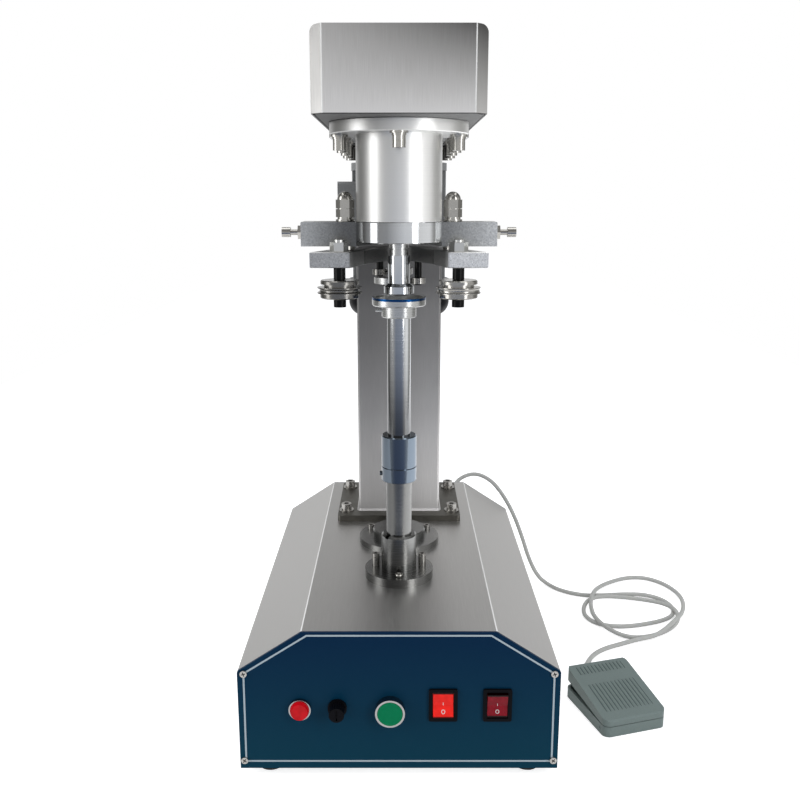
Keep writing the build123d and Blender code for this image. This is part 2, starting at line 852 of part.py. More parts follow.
with BuildPart() as housing_ring:
    with BuildSketch(level(ring_z)):
        Circle(housing_ring_diameter / 2)
        Circle(neck_diameter / 2 + part_gap, mode=Mode.SUBTRACT)
    extrude(amount=housing_ring_length)
    chamfer(housing_ring.faces().filter_by(GeomType.PLANE).edges().group_by(SortBy.RADIUS)[-1], 0.8)

washer_radius = 9.0
with BuildPart() as spindle_bearings:
    for z in (housing_z, head_plate_z - bearing_width):
        with BuildSketch(level(z)) as race:
            Circle(bearing_bore / 2)
            Circle(spindle_diameter / 2 + running_fit, mode=Mode.SUBTRACT)
        extrude(race.sketch, amount=bearing_width)

spindle_top = pulley_z + pulley_width + 3
spindle_tip = nose_top - 14.0
with BuildPart() as spindle:
    with BuildSketch(facing_front(0)):
        with BuildLine():
            neck = neck_diameter / 2
            body = spindle_diameter / 2
            Polyline(
                (0, spindle_tip),
                (neck, spindle_tip),
                (neck, ring_z - 7.5),
                (neck - 0.9, ring_z - 7.5),
                (neck - 0.9, ring_z - 6.0),
                (neck, ring_z - 6.0),
                (neck, housing_z + seat_gap),
                (body, housing_z + seat_gap),
                (body, spindle_top - 1),
                (body - 1, spindle_top),
                (0, spindle_top),
                close=True,
            )
        make_face()
    revolve(axis=upright())

with BuildPart() as seaming_chuck:
    with BuildSketch(facing_front(0)):
        with BuildLine():
            Polyline(
                (0, chuck_z + 1.5),
                (chuck_diameter / 2 - 3, chuck_z + 1.5),
                (chuck_diameter / 2 - 3, chuck_z),
                (chuck_diameter / 2, chuck_z),
                (chuck_diameter / 2, cone_z),
                (nose_diameter / 2, nose_z),
                (nose_diameter / 2, nose_top),
                (neck_diameter / 2 + seat_gap, nose_top),
                (neck_diameter / 2 + seat_gap, spindle_tip - seat_gap),
                (0, spindle_tip - seat_gap),
                close=True,
            )
        make_face()
    revolve(axis=upright())

# Belt drive
def pulley(x, y, seat_radius, bore_radius):
    """Flanged pulley with a web and a hub, turned about its own upright axis."""
    rim = seat_radius + pulley_rim
    edge = (pulley_width - belt_width) / 2 - part_gap
    hub = bore_radius + 8
    web_gap = min(5.0, pulley_width / 4)
    inner = max(seat_radius - 7, hub + 0.5)
    return turned(
        [
            (bore_radius + seat_gap, pulley_z),
            (hub, pulley_z),
            (hub, pulley_z + web_gap),
            (inner, pulley_z + web_gap),
            (inner, pulley_z),
            (rim, pulley_z),
            (rim, pulley_z + edge),
            (seat_radius, pulley_z + edge),
            (seat_radius, pulley_z + pulley_width - edge),
            (rim, pulley_z + pulley_width - edge),
            (rim, pulley_z + pulley_width),
            (bore_radius + seat_gap, pulley_z + pulley_width),
        ],
        x,
        y,
    )


spindle_pulley = pulley(0, 0, spindle_pulley_diameter / 2, spindle_diameter / 2)
motor_pulley = pulley(0, motor_axis, motor_pulley_diameter / 2, motor_shaft_diameter / 2)
belt_z = pulley_z + (pulley_width - belt_width) / 2
with BuildPart() as drive_belt:
    for grow, mode in ((part_gap + belt_thickness, Mode.ADD), (part_gap, Mode.SUBTRACT)):
        with BuildSketch(level(belt_z)) as loop:
            Circle(spindle_pulley_diameter / 2 + grow)
            with Locations((0, motor_axis)):
                Circle(motor_pulley_diameter / 2 + grow)
            make_hull()
        extrude(loop.sketch, amount=belt_width, mode=mode)

# Motor: finned shell with its flange, rotor on its shaft, fan cover below
shaft_radius = motor_shaft_diameter / 2
skin_radius = motor_skin_diameter / 2
inner_radius = skin_radius - motor_wall
neck_z = motor_top - 8.5
shield_z = motor_top - 26.0
terminal_z = motor_top - 68.0
with BuildPart() as motor_body:
    with BuildSketch(facing_front(motor_axis)):
        with BuildLine():
            Polyline(
                (inner_radius, motor_z + fan_cover_length + 6),
                (inner_radius, shield_z),
                (shaft_radius + 1, shield_z),
                (shaft_radius + 1, head_plate_z),
                (motor_flange_diameter / 2, head_plate_z),
                (motor_flange_diameter / 2, motor_top),
                (motor_neck_diameter / 2, motor_top),
                (motor_neck_diameter / 2, neck_z),
                (skin_radius, neck_z - 2),
                (skin_radius, neck_z - 7),
                (motor_shield_diameter / 2, neck_z - 7),
                (motor_shield_diameter / 2, shield_z),
                (skin_radius, shield_z),
                (skin_radius, motor_z + fan_cover_length + fan_cover_lap),
                (motor_diameter / 2 - fan_cover_wall - seat_gap, motor_z + fan_cover_length + fan_cover_lap),
                (motor_diameter / 2 - fan_cover_wall - seat_gap, motor_z + fan_cover_length),
                (shaft_radius + 1, motor_z + fan_cover_length),
                (shaft_radius + 1, motor_z + fan_cover_length + 6),
                close=True,
            )
        make_face()
    revolve(axis=upright(0, motor_axis))
    with BuildSketch(level(motor_z + fan_cover_length + 8, 0, motor_axis)):
        with PolarLocations((motor_fin_diameter - motor_fin_depth) / 2, 28):
            Rectangle(motor_fin_depth, motor_fin_thickness)
        Circle(skin_radius - 3, mode=Mode.SUBTRACT)
    extrude(amount=shield_z - motor_z - fan_cover_length - 8)
    for x, y in motor_bolt_spots:
        drill(level(motor_top - 1, x, y), 3 + seat_gap, motor_flange_thickness + 2)
    with BuildSketch(facing_right(-motor_diameter / 2 - terminal_reach, motor_axis, terminal_z)):
        RectangleRounded(terminal_width, terminal_height, 5)
    extrude(amount=terminal_reach + (motor_diameter - motor_skin_diameter) / 2 + motor_wall)

with BuildPart() as motor_rotor:
    rotor_z = motor_z + fan_cover_length + 30
    fan_z = motor_z + 16
    post(level(fan_z - 4, 0, motor_axis), shaft_radius, pulley_z + pulley_width + 2 - fan_z + 4)
    post(level(rotor_z, 0, motor_axis), inner_radius - rotor_air_gap, shield_z - rotor_z - 22)
    post(level(fan_z, 0, motor_axis), fan_hub_radius, fan_height)
    with BuildSketch(level(fan_z, 0, motor_axis)):
        with PolarLocations(fan_hub_radius + fan_blade_length / 2 - 3, 7):
            Rectangle(fan_blade_length, 2.5)
    extrude(amount=fan_height)

with BuildPart() as fan_cover:
    with BuildSketch(facing_front(motor_axis)):
        with BuildLine():
            outer = motor_diameter / 2
            inner = outer - fan_cover_wall
            bend = 20.0
            top = motor_z + fan_cover_length + fan_cover_lap
            low = motor_z + fan_cover_wall
            Polyline((outer, motor_z + bend), (outer, top), (inner, top), (inner, motor_z + bend))
            RadiusArc((inner, motor_z + bend), (outer - bend, low), bend - fan_cover_wall)
            Polyline((outer - bend, low), (0, low), (0, motor_z), (outer - bend, motor_z))
            RadiusArc((outer - bend, motor_z), (outer, motor_z + bend), -bend)
        make_face()
    revolve(axis=upright(0, motor_axis))
    with BuildSketch(level(motor_z - 1, 0, motor_axis)):
        for ring in (16, 26, 36):
            with PolarLocations(ring, 8):
                SlotOverall(8, 3, rotation=90)
    extrude(amount=4, mode=Mode.SUBTRACT)

# Seaming cams on their shaft, and the gearmotor that turns it
first_cam_z = arm_z - 9.5 - cam_width
second_cam_z = first_cam_z - cam_spacing
cam_housing_z = arm_top + 12.0
camshaft_bottom = second_cam_z - 2.0
base_radius = follower_reach - follower_diameter / 2 - cam_clearance


def pitch_point(side, start, share):
    """Follower's middle seen from the turning cam, when a share of the arm's swing is done."""
    pivot = Vector(side * pivot_x, pivot_y)
    arm = Vector(side * follower_reach, cam_axis) - pivot
    middle = pivot + arm.rotate(Axis.Z, -side * arm_swing * share) - Vector(0, cam_axis)
    return middle.rotate(Axis.Z, -(start + cam_lift_turn * share))


def rise_point(side, start, share):
    """Point of the cam's edge that meets the follower there, one follower radius inside its path."""
    middle = pitch_point(side, start, share)
    along = (pitch_point(side, start, share + 0.01) - pitch_point(side, start, share - 0.01)).normalized()
    inward = Vector(-along.Y, along.X)
    if inward.dot(middle) > 0:
        inward = -inward
    return middle + inward * (follower_diameter / 2 + cam_clearance)


def seaming_cam(side, start, z):
    """Disc cam with an even rise, a short dwell and a quick return, for the part being built."""
    rise = [rise_point(side, start, share / 8) for share in range(9)]
    top = rise[-1]
    peak = top.rotate(Axis.Z, -8)
    fall = top.normalized().rotate(Axis.Z, -36) * ((top.length + base_radius) / 2)
    back = top.normalized().rotate(Axis.Z, -64) * base_radius
    foot = Vector(base_radius, 0).rotate(Axis.Z, (180 if side < 0 else 0) - start)
    ease = foot.rotate(Axis.Z, -5) * 1.004
    with BuildSketch(level(z, 0, cam_axis)) as disc:
        with BuildLine():
            Spline(foot, ease, *rise, peak, fall, back)
            ThreePointArc(back, foot.rotate(Axis.Z, 50), foot)
        make_face()
        Circle(camshaft_diameter / 2 + seat_gap, mode=Mode.SUBTRACT)
    extrude(disc.sketch, amount=cam_width)


with BuildPart() as seaming_cams:
    seaming_cam(-1, 0.0, first_cam_z)
    seaming_cam(1, second_cam_start, second_cam_z)

with BuildPart() as camshaft:
    post(level(camshaft_bottom, 0, cam_axis), camshaft_diameter / 2, head_plate_top + 6 - camshaft_bottom)

with BuildPart() as cam_housing:
    with BuildSketch(facing_front(cam_axis)):
        with BuildLine():
            bush = camshaft_diameter / 2 + running_fit
            hollow_radius = cam_housing_bore / 2
            tube = cam_housing_diameter / 2
            Polyline(
                (bush, cam_housing_z),
                (tube, cam_housing_z),
                (tube, head_plate_z),
                (bush, head_plate_z),
                (bush, head_plate_z - 12),
                (hollow_radius, head_plate_z - 12),
                (hollow_radius, cam_housing_z + 12),
                (bush, cam_housing_z + 12),
                close=True,
            )
        make_face()
    revolve(axis=upright(0, cam_axis))
    with BuildSketch(level(head_plate_z - hanging_plate_thickness)):
        with Locations((0, (cam_plate_front + cam_plate_rear) / 2)):
            RectangleRounded(cam_plate_width, cam_plate_rear - cam_plate_front, 4)
        Circle(flange_diameter / 2 + 2, mode=Mode.SUBTRACT)
        with Locations((0, cam_axis)):
            Circle(camshaft_diameter / 2 + running_fit, mode=Mode.SUBTRACT)
    extrude(amount=hanging_plate_thickness)
    for x, y in cam_plate_bolt_spots:
        drill(
            level(head_plate_z - hanging_plate_thickness - 1, x, y), 4 + seat_gap, hanging_plate_thickness + 2
        )

with BuildPart() as cam_gearmotor:
    post(level(head_plate_top, 0, cam_axis), cam_motor_diameter / 2, cam_motor_length)
    drill(level(head_plate_top - 1, 0, cam_axis), camshaft_diameter / 2 + running_fit, 10)

# Side bars, bored out for the pivots, on both sides of the housing ring
screw_z = bar_z + bar_height / 2 + 1.4
slot_width = pivot_diameter + 2 * running_fit
slot_inner = pivot_x - slot_width / 2
with BuildPart() as side_bars:
    for side in (-1, 1):
        with BuildSketch(level(bar_z, 0, pivot_y)) as bar:
            with Locations((side * bar_reach / 2, 0)):
                Rectangle(bar_reach, bar_depth)
            with Locations((0, -pivot_y)):
                Circle(housing_ring_diameter / 2 + seat_gap, mode=Mode.SUBTRACT)
            with Locations((side * (slot_inner + slot_outer) / 2, 0)):
                SlotOverall(slot_outer - slot_inner, slot_width, mode=Mode.SUBTRACT)
        extrude(bar.sketch, amount=bar_height)
    for side in (-1, 1):
        drill(
            facing_right(side * (slot_outer + bar_reach) / 2 - 12, pivot_y, screw_z),
            screw_diameter / 2 + running_fit,
            24,
        )
    chamfer(side_bars.edges().filter_by(Axis.Y).group_by(Axis.Z)[-1], 0.8)

def plate_screw(plane, grip):
    """Cap screw with a flat and a spring washer, which holds a plate of some thickness to the head plate."""
    washer, spring, thread = 2.0, 2.0, 7.0
    post(plane, washer_radius, washer)
    post(plane.offset(washer), 7.2, spring)
    socket_screw(plane.offset(washer + spring), 8, 13, 11.2, washer + spring + grip + thread)


with BuildPart() as head_fasteners:
    for x, y in flange_bolt_spots:
        hanging = Plane(level(flange_z, x, y).origin, x_dir=(1, 0, 0), z_dir=(0, 0, -1))
        plate_screw(hanging, flange_thickness)
    for x, y in cam_plate_bolt_spots + column_cap_bolt_spots:
        hanging = Plane(
            level(head_plate_z - hanging_plate_thickness, x, y).origin, x_dir=(1, 0, 0), z_dir=(0, 0, -1)
        )
        plate_screw(hanging, hanging_plate_thickness)
    for x, y in motor_bolt_spots:
        hanging = Plane(level(motor_top, x, y).origin, x_dir=(1, 0, 0), z_dir=(0, 0, -1))
        hexagon(hanging, 11.5, 5)
        post(hanging.offset(-motor_flange_thickness - 7), 3, motor_flange_thickness + 7)
    for side in (-1, 1):
        outward = Plane(
            facing_right(side * bar_reach, pivot_y, screw_z).origin, x_dir=(0, 1, 0), z_dir=(side, 0, 0)
        )
        hexagon(outward, lock_nut_across_corners, lock_nut_width)
        drill(outward.offset(-1), screw_diameter / 2 + running_fit, lock_nut_width + 2)


def pivot_set(side):
    """Pivot pin with its collar, nuts and set-out screw, which slide together in the bar's slot."""
    x, y = side * pivot_x, pivot_y
    with BuildPart() as piece:
        post(level(arm_z, x, y), pivot_diameter / 2, bar_top + 24 - arm_z)
        post(level(arm_top + part_gap, x, y), pivot_washer_radius, arm_gap - 2 * part_gap)
        washer_z = bar_top + part_gap
        spring_z = washer_z + pivot_washer_thickness
        nut_z = spring_z + spring_washer_thickness
        acorn_z = nut_z + nut_height + 0.6
        post(level(washer_z, x, y), pivot_washer_radius, pivot_washer_thickness)
        post(level(spring_z, x, y), acorn_dome_radius, spring_washer_thickness)
        hexagon(level(nut_z, x, y), nut_across_corners, nut_height)
        post(level(nut_z + nut_height, x, y), acorn_dome_radius, 0.6)
        hexagon(level(acorn_z, x, y), nut_across_corners, acorn_hex_height)
        with Locations(level(acorn_z + acorn_hex_height, x, y)):
            Sphere(acorn_dome_radius, arc_size1=0, align=standing)
        post(level(arm_z - part_gap - 2.2, x, y), 9, 2.2)
        post(level(arm_z - part_gap - 1, x, y), 4, part_gap + 2)
        reach = bar_reach + screw_showing - pivot_x - pivot_diameter / 2 + 1
        outward = Plane(
            facing_right(side * (pivot_x + pivot_diameter / 2 - 1), y, screw_z).origin,
            x_dir=(0, 1, 0),
            z_dir=(side, 0, 0),
        )
        post(outward, screw_diameter / 2, reach)
        socket_screw(outward.offset(reach), screw_diameter, screw_head_diameter, screw_head_length, 1)
    return piece


left_pivot = pivot_set(-1)
right_pivot = pivot_set(1)


# Roller arms, the left one the mirror of the right
def roller_arm(side):
    """Arm plate: a broad head that carries the roller, and a tail that runs to the cam."""
    lean = tan(radians(15))
    head_back = arm_front + 15
    with BuildPart() as piece:
        with BuildSketch(level(arm_z)):
            with BuildLine():
                Polyline(
                    (side * arm_inner, -arm_front),
                    (side * arm_outer, -arm_front),
                    (side * (arm_outer - 20), head_back),
                    (side * (arm_inner - lean * (head_back + arm_front)), head_back),
                    close=True,
                )
            make_face()
            with Locations((side * pivot_x, pivot_y)):
                Circle(pivot_diameter / 2 + running_fit, mode=Mode.SUBTRACT)
            with Locations((side * roller_x, roller_y)):
                Circle(roller_pin_diameter / 2 + seat_gap, mode=Mode.SUBTRACT)
        extrude(amount=arm_thickness)
        with BuildSketch(level(arm_z)) as tail:
            with Locations((side * follower_reach, cam_axis)):
                Circle(10.5)
            with Locations((side * (arm_inner - lean * (head_back + arm_front) + 14.5), head_back - 3)):
                Circle(14)
            make_hull()
            with Locations((side * follower_reach, cam_axis)):
                Circle(follower_pin_diameter / 2 + seat_gap, mode=Mode.SUBTRACT)
            with Locations((side * pivot_x, pivot_y)):
                Circle(pivot_diameter / 2 + running_fit, mode=Mode.SUBTRACT)
        extrude(tail.sketch, amount=arm_thickness)
        chamfer(piece.faces().sort_by(Axis.Z)[0].outer_wire().edges(), 0.7)
        chamfer(piece.faces().sort_by(Axis.Z)[-1].outer_wire().edges(), 0.7)
    return piece


left_arm = roller_arm(-1)
right_arm = roller_arm(1)


def arm_pins(side, follower_z):
    """Roller pin with its nut, and the follower's pin, all fast in the arm."""
    x, y = side * roller_x, roller_y
    shoulder = roller_pin_diameter / 2
    with BuildPart() as piece:
        head_top = roller_z - part_gap
        down = Plane(level(head_top - 1, x, y).origin, x_dir=(1, 0, 0), z_dir=(0, 0, -1))
        post(level(head_top - 1, x, y), 7.0, 1)
        socket_screw(down, 9, roller_head_diameter, roller_head_length, 1)
        post(level(head_top - 1, x, y), shoulder, arm_top + 12 - head_top + 1)
        post(
            level(roller_top + part_gap, x, y), roller_spacer_diameter / 2, arm_z - roller_top - part_gap
        )
        hexagon(level(arm_top, x, y), nut_across_corners, 9.5)
        fx, fy = side * follower_reach, cam_axis
        post(level(follower_z - 1.4, fx, fy), follower_pin_diameter / 2, arm_top - follower_z + 1.4)
        post(level(follower_z - 1.4, fx, fy), 4.2, 1.1)
        post(level(follower_z + cam_width, fx, fy), 4.2, arm_z - follower_z - cam_width)
    return piece


def roller(side, groove_depth, groove_half):
    """Seaming roller with its rolled groove in the rim of the flange."""
    bore = roller_pin_diameter / 2 + running_fit
    rim = roller_flange_diameter / 2
    top = roller_top_diameter / 2
    foot = roller_foot_diameter / 2
    flange_low = roller_z + 5.3
    flange_high = flange_low + 6.4
    middle = (flange_low + flange_high) / 2
    with BuildPart() as piece:
        with BuildSketch(facing_front(roller_y, side * roller_x)):
            with BuildLine():
                Polyline(
                    (rim, middle - groove_half),
                    (rim, flange_low),
                    (foot, flange_low),
                    (foot, roller_z + 1),
                    (foot - 1, roller_z),
                    (bore, roller_z),
                    (bore, roller_top),
                    (top - 1, roller_top),
                    (top, roller_top - 1),
                    (top, roller_top - 4.2),
                    (top - 3.5, roller_top - 4.2),
                    (top - 3.5, flange_high),
                    (rim, flange_high),
                    (rim, middle + groove_half),
                )
                ThreePointArc(
                    (rim, middle + groove_half),
                    (rim - groove_depth, middle),
                    (rim, middle - groove_half),
                )
            make_face()
        revolve(axis=upright(side * roller_x, roller_y))
    return piece


def follower(side, z):
    """Roller that runs on the cam's edge."""
    bore = follower_pin_diameter / 2 + running_fit
    with BuildPart() as piece:
        with BuildSketch(level(z + part_gap, side * follower_reach, cam_axis)):
            Circle(follower_diameter / 2)
            Circle(bore, mode=Mode.SUBTRACT)
        extrude(amount=cam_width - 2 * part_gap)
    return piece


left_arm_pins = arm_pins(-1, first_cam_z)
right_arm_pins = arm_pins(1, second_cam_z)
left_roller = roller(-1, 2.4, 2.2)
right_roller = roller(1, 1.1, 2.4)
left_follower = follower(-1, first_cam_z)
right_follower = follower(1, second_cam_z)

# Foot pedal, standing turned a little to the left of square
pedal_plane = Plane((seam_x + pedal_x, seam_y + pedal_y, 0)).rotated((0, 0, pedal_turn))
pedal_side = Plane(pedal_plane.origin, x_dir=pedal_plane.y_dir, z_dir=pedal_plane.x_dir)
hinge_y = -pedal_length / 2 + pedal_hinge_inset
ear_thickness = 4.0
inner_half = pedal_width / 2 - pedal_wall
with BuildPart() as pedal_base:
    with BuildSketch(pedal_plane):
        RectangleRounded(pedal_width, pedal_length, pedal_corner)
    extrude(amount=pedal_base_height)
    with BuildSketch(pedal_plane.offset(2.5)):
        inner_size = (pedal_width - 2 * pedal_wall, pedal_length - 2 * pedal_wall)
        RectangleRounded(*inner_size, pedal_corner - pedal_wall)
    extrude(amount=pedal_base_height, mode=Mode.SUBTRACT)
    hinge_line = pedal_side.offset(-pedal_width / 2 - 1)
    with BuildSketch(hinge_line):
        with Locations((hinge_y, pedal_hinge_height)):
            Circle(pedal_pin_diameter / 2 + seat_gap)
    extrude(amount=pedal_width + 2, mode=Mode.SUBTRACT)
    with BuildSketch(pedal_side.offset(-pedal_width / 2 + 0.5)):
        with Locations((hinge_y, pedal_hinge_height)):
            Circle(pedal_pin_diameter / 2)
    extrude(amount=pedal_width - 1)

treadle_low = pedal_base_height + 0.8
with BuildPart() as pedal_treadle:
    with BuildSketch(pedal_side.offset(-pedal_width / 2)):
        with BuildLine():
            front, rear = -pedal_length / 2, pedal_length / 2
            Polyline(
                (front, treadle_low),
                (front, treadle_front_height - 2),
                (front + 2, treadle_front_height),
                (rear - 2, treadle_rear_height),
                (rear, treadle_rear_height - 2),
                (rear, pedal_base_height + treadle_rear_gap),
                (hinge_y, treadle_low),
                close=True,
            )
        make_face()
    extrude(amount=pedal_width)
    with BuildSketch(pedal_plane):
        RectangleRounded(pedal_width, pedal_length, pedal_corner)
    extrude(amount=2 * treadle_rear_height, mode=Mode.INTERSECT)
    for side in (-1, 1):
        ear_place = side * (inner_half - ear_thickness / 2 - part_gap) - ear_thickness / 2
        with BuildSketch(pedal_side.offset(ear_place)) as ear:
            with Locations((hinge_y, pedal_hinge_height)):
                Circle(4.2)
            with Locations((hinge_y, pedal_hinge_height + 4)):
                Rectangle(8.4, 8)
            with Locations((hinge_y, pedal_hinge_height)):
                Circle(pedal_pin_diameter / 2 + running_fit, mode=Mode.SUBTRACT)
        extrude(ear.sketch, amount=ear_thickness)

# Cord glands: on the back panel and on the pedal's rear wall
pedal_gland_x = -6.0
pedal_gland_z = 7.0
cord_radius = cord_diameter / 2
back_gland = Plane(
    facing_front(base_rear, cord_exit_x, cord_exit_z).origin, x_dir=(1, 0, 0), z_dir=(0, 1, 0)
)
pedal_gland = Plane(
    pedal_plane.from_local_coords(Vector(pedal_gland_x, pedal_length / 2, pedal_gland_z)),
    x_dir=pedal_plane.x_dir,
    z_dir=pedal_plane.y_dir,
)
gland_length = 9.0
with BuildPart() as cord_glands:
    for seat, radius in ((back_gland, gland_radius), (pedal_gland, 4.6)):
        post(seat, radius, gland_length)

# Cord route, from the back panel to the coil and from the coil to the pedal, chosen by hand
back_route = [
    (80.0, base_rear + gland_length, cord_exit_z),
    (80.0, 364.0, cord_exit_z),
    (90.0, 378.0, 150.0),
    (115.0, 380.0, 160.0),
    (140.0, 370.0, 152.0),
    (160.0, 362.0, 128.0),
    (176.0, 356.0, 98.0),
    (188.0, 350.0, 66.0),
    (198.0, 343.0, 34.0),
    (210.0, 332.0, 11.0),
    (224.0, 318.0, 3.2),
    (240.0, 296.0, 3.0),
    (268.0, 280.0, 3.2),
]
pedal_route = [
    (316.0, 146.0, 3.2),
    (290.0, 133.0, 3.0),
    (266.0, 121.0, 3.1),
    (247.0, 104.0, 3.0),
    (235.0, 81.0, 3.4),
    (226.0, 60.0, 5.6),
]


def cord_tube(points):
    """Tube along straight runs joined by arcs, each as large as its two runs allow."""
    spots = [Vector(seam_x + x, seam_y + y, z) for x, y, z in points]
    radii = []
    for before, spot, after in zip(spots, spots[1:], spots[2:]):
        bend = (spot - before).get_angle(after - spot)
        run = min((spot - before).length, (after - spot).length)
        radii.append(0.45 * run / tan(radians(bend) / 2))
    print("cord radii", [round(radius, 1) for radius in radii])
    with BuildPart() as piece:
        with BuildLine() as path:
            FilletPolyline(*spots, radius=radii)
        with BuildSketch(Plane(origin=spots[0], z_dir=spots[1] - spots[0])):
            Circle(cord_radius)
        sweep(path=path.line)
    length = path.wires()[0].length
    ratio = piece.part.volume / (pi * cord_radius**2 * length)
    print("cord length", round(length, 1), "volume ratio", round(ratio, 4))
    return piece


gland_face = pedal_gland.offset(gland_length).origin
gland_ahead = pedal_gland.offset(gland_length + 12).origin
cord_run_a = cord_tube(back_route)
cord_run_b = cord_tube(
    pedal_route
    + [
        (gland_ahead.X - seam_x, gland_ahead.Y - seam_y, pedal_gland_z),
        (gland_face.X - seam_x, gland_face.Y - seam_y, pedal_gland_z),
    ]
)
coil_x, coil_y, coil_rx, coil_ry = 336.0, 246.0, 84.0, 108.0
coil_eye_rx, coil_eye_ry = 36.0, 30.0
with BuildPart() as cord_coil:
    with BuildSketch(level(0, coil_x, coil_y)):
        Ellipse(coil_rx, coil_ry)
        with Locations((-10, -14)):
            Ellipse(coil_eye_rx, coil_eye_ry, mode=Mode.SUBTRACT)
    extrude(amount=coil_height)

pieces = {
    "base_housing": base_housing, "front_panel": front_panel, "back_panel": back_panel,
    "base_floor": base_floor, "rubber_feet": rubber_feet, "panel_bezels": panel_bezels,
    "lamp_lens": lamp_lens, "fuse_holder": fuse_holder, "fuse_cap": fuse_cap,
    "jog_button": jog_button, "switch_frames": switch_frames, "power_rocker": power_rocker,
    "auto_rocker": auto_rocker, "column_plate": column_plate, "column": column,
    "gearbox_cap": gearbox_cap, "base_screws": base_screws, "lift_guide": lift_guide,
    "lift_tube": lift_tube, "height_sleeve": height_sleeve,
    "centre_rod": centre_rod, "tray_collar": tray_collar, "can_tray": can_tray,
    "lift_cam": lift_cam, "lift_gearmotor": lift_gearmotor, "head_plate": head_plate,
    "head_cover": head_cover, "spindle_housing": spindle_housing, "housing_ring": housing_ring,
    "head_fasteners": head_fasteners, "spindle_bearings": spindle_bearings, "spindle": spindle,
    "seaming_chuck": seaming_chuck, "spindle_pulley": spindle_pulley, "motor_pulley": motor_pulley,
    "drive_belt": drive_belt, "motor_body": motor_body, "motor_rotor": motor_rotor,
    "fan_cover": fan_cover, "seaming_cams": seaming_cams, "camshaft": camshaft,
    "cam_housing": cam_housing, "cam_gearmotor": cam_gearmotor, "side_bars": side_bars,
    "left_pivot": left_pivot, "right_pivot": right_pivot,
    "left_arm": left_arm, "right_arm": right_arm, "left_arm_pins": left_arm_pins,
    "right_arm_pins": right_arm_pins, "left_roller": left_roller, "right_roller": right_roller,
    "left_follower": left_follower, "right_follower": right_follower, "pedal_base": pedal_base,
    "pedal_treadle": pedal_treadle, "cord_glands": cord_glands,
    "cord_run_a": cord_run_a, "cord_run_b": cord_run_b, "cord_coil": cord_coil,
}
for label, piece in pieces.items():
    save(piece, label)
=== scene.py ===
# %% [markdown]
# # A desktop can seamer, dressed for its portrait
# The frame holds every rigid piece at its real size. This script gives each piece its finish, lays the
# cord, adds the small trim, and sets the camera where the photograph was taken from.

# %% Load the frame
import math

import bpy
import numpy as np
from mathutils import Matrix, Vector


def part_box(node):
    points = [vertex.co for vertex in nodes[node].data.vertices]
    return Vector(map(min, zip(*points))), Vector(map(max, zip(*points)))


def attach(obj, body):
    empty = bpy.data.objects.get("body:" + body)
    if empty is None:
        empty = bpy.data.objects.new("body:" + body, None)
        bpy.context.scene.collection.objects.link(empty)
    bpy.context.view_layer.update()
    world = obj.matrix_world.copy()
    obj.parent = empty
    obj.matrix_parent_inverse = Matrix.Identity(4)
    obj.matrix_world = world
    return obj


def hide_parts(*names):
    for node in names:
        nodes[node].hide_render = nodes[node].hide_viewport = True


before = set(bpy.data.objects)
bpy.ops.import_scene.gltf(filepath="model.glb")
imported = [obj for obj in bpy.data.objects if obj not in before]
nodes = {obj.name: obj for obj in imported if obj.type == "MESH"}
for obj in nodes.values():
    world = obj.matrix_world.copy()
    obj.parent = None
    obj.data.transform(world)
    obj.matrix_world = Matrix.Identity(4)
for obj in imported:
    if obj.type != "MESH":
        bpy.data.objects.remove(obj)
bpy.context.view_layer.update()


def span(node):
    """Lowest and highest corner of a node, as two arrays in metres."""
    low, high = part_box(node)
    return np.array(low), np.array(high)


rod_low, rod_high = span("centre_rod")
seam_x, seam_y = (rod_low + rod_high)[:2] / 2
print("seaming axis at", round(seam_x, 4), round(seam_y, 4))

# %% [markdown]
# ## The camera
# The base's edges gave the lens and the height. The camera looks slightly down from in front of the
# panel, straight at the seaming axis. A tiny shift puts the axis where the photograph has it.

# %% Place the camera
camera_back = 0.950
camera_height = 0.5752
camera_pitch = 12.763
frame_pixels = 800
focal_pixels = 905
centre_pixel = 399
sensor_width = 36.0
scene = bpy.context.scene
camera_data = bpy.data.cameras.new("portrait_camera")
camera_data.sensor_width = sensor_width
camera_data.lens = sensor_width * focal_pixels / frame_pixels
camera_data.shift_x = (frame_pixels / 2 - centre_pixel) / frame_pixels
camera = bpy.data.objects.new("portrait_camera", camera_data)
camera.location = (seam_x, seam_y - camera_back, camera_height)
camera.rotation_euler = (math.radians(90 - camera_pitch), 0, 0)
scene.collection.objects.link(camera)
scene.camera = camera
scene.view_settings.view_transform = "Standard"
print("camera at", [round(v, 3) for v in camera.location])

# %% [markdown]
# ## Helpers for surfaces
# Every new piece is a surface over a grid of two parameters. A closed direction joins its last row to
# its first. Faces are wound so that they point outwards.


# %% Make a mesh from a grid of points
def new_piece(name, points, faces, body, material):
    """Mesh object that rides on a body and takes one material."""
    mesh = bpy.data.meshes.new(name)
    mesh.from_pydata(points.reshape(-1, 3).tolist(), [], faces.tolist())
    mesh.shade_smooth()
    mesh.materials.append(material)
    piece = bpy.data.objects.new(name, mesh)
    scene.collection.objects.link(piece)
    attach(piece, body)
    return piece


def grid_piece(name, points, body, material, wrap_u=False, wrap_v=False, flip=False):
    """Mesh whose vertex (i, j) is points[i, j]; quads join neighbours, and wrapping closes a direction."""
    rows, columns = points.shape[:2]
    i, j = np.meshgrid(np.arange(rows - (not wrap_u)), np.arange(columns - (not wrap_v)), indexing="ij")
    a = i * columns + j
    b = ((i + 1) % rows) * columns + j
    c = ((i + 1) % rows) * columns + (j + 1) % columns
    d = i * columns + (j + 1) % columns
    order = (a, d, c, b) if flip else (a, b, c, d)
    faces = np.stack([side.ravel() for side in order], axis=1)
    return new_piece(name, points, faces, body, material)


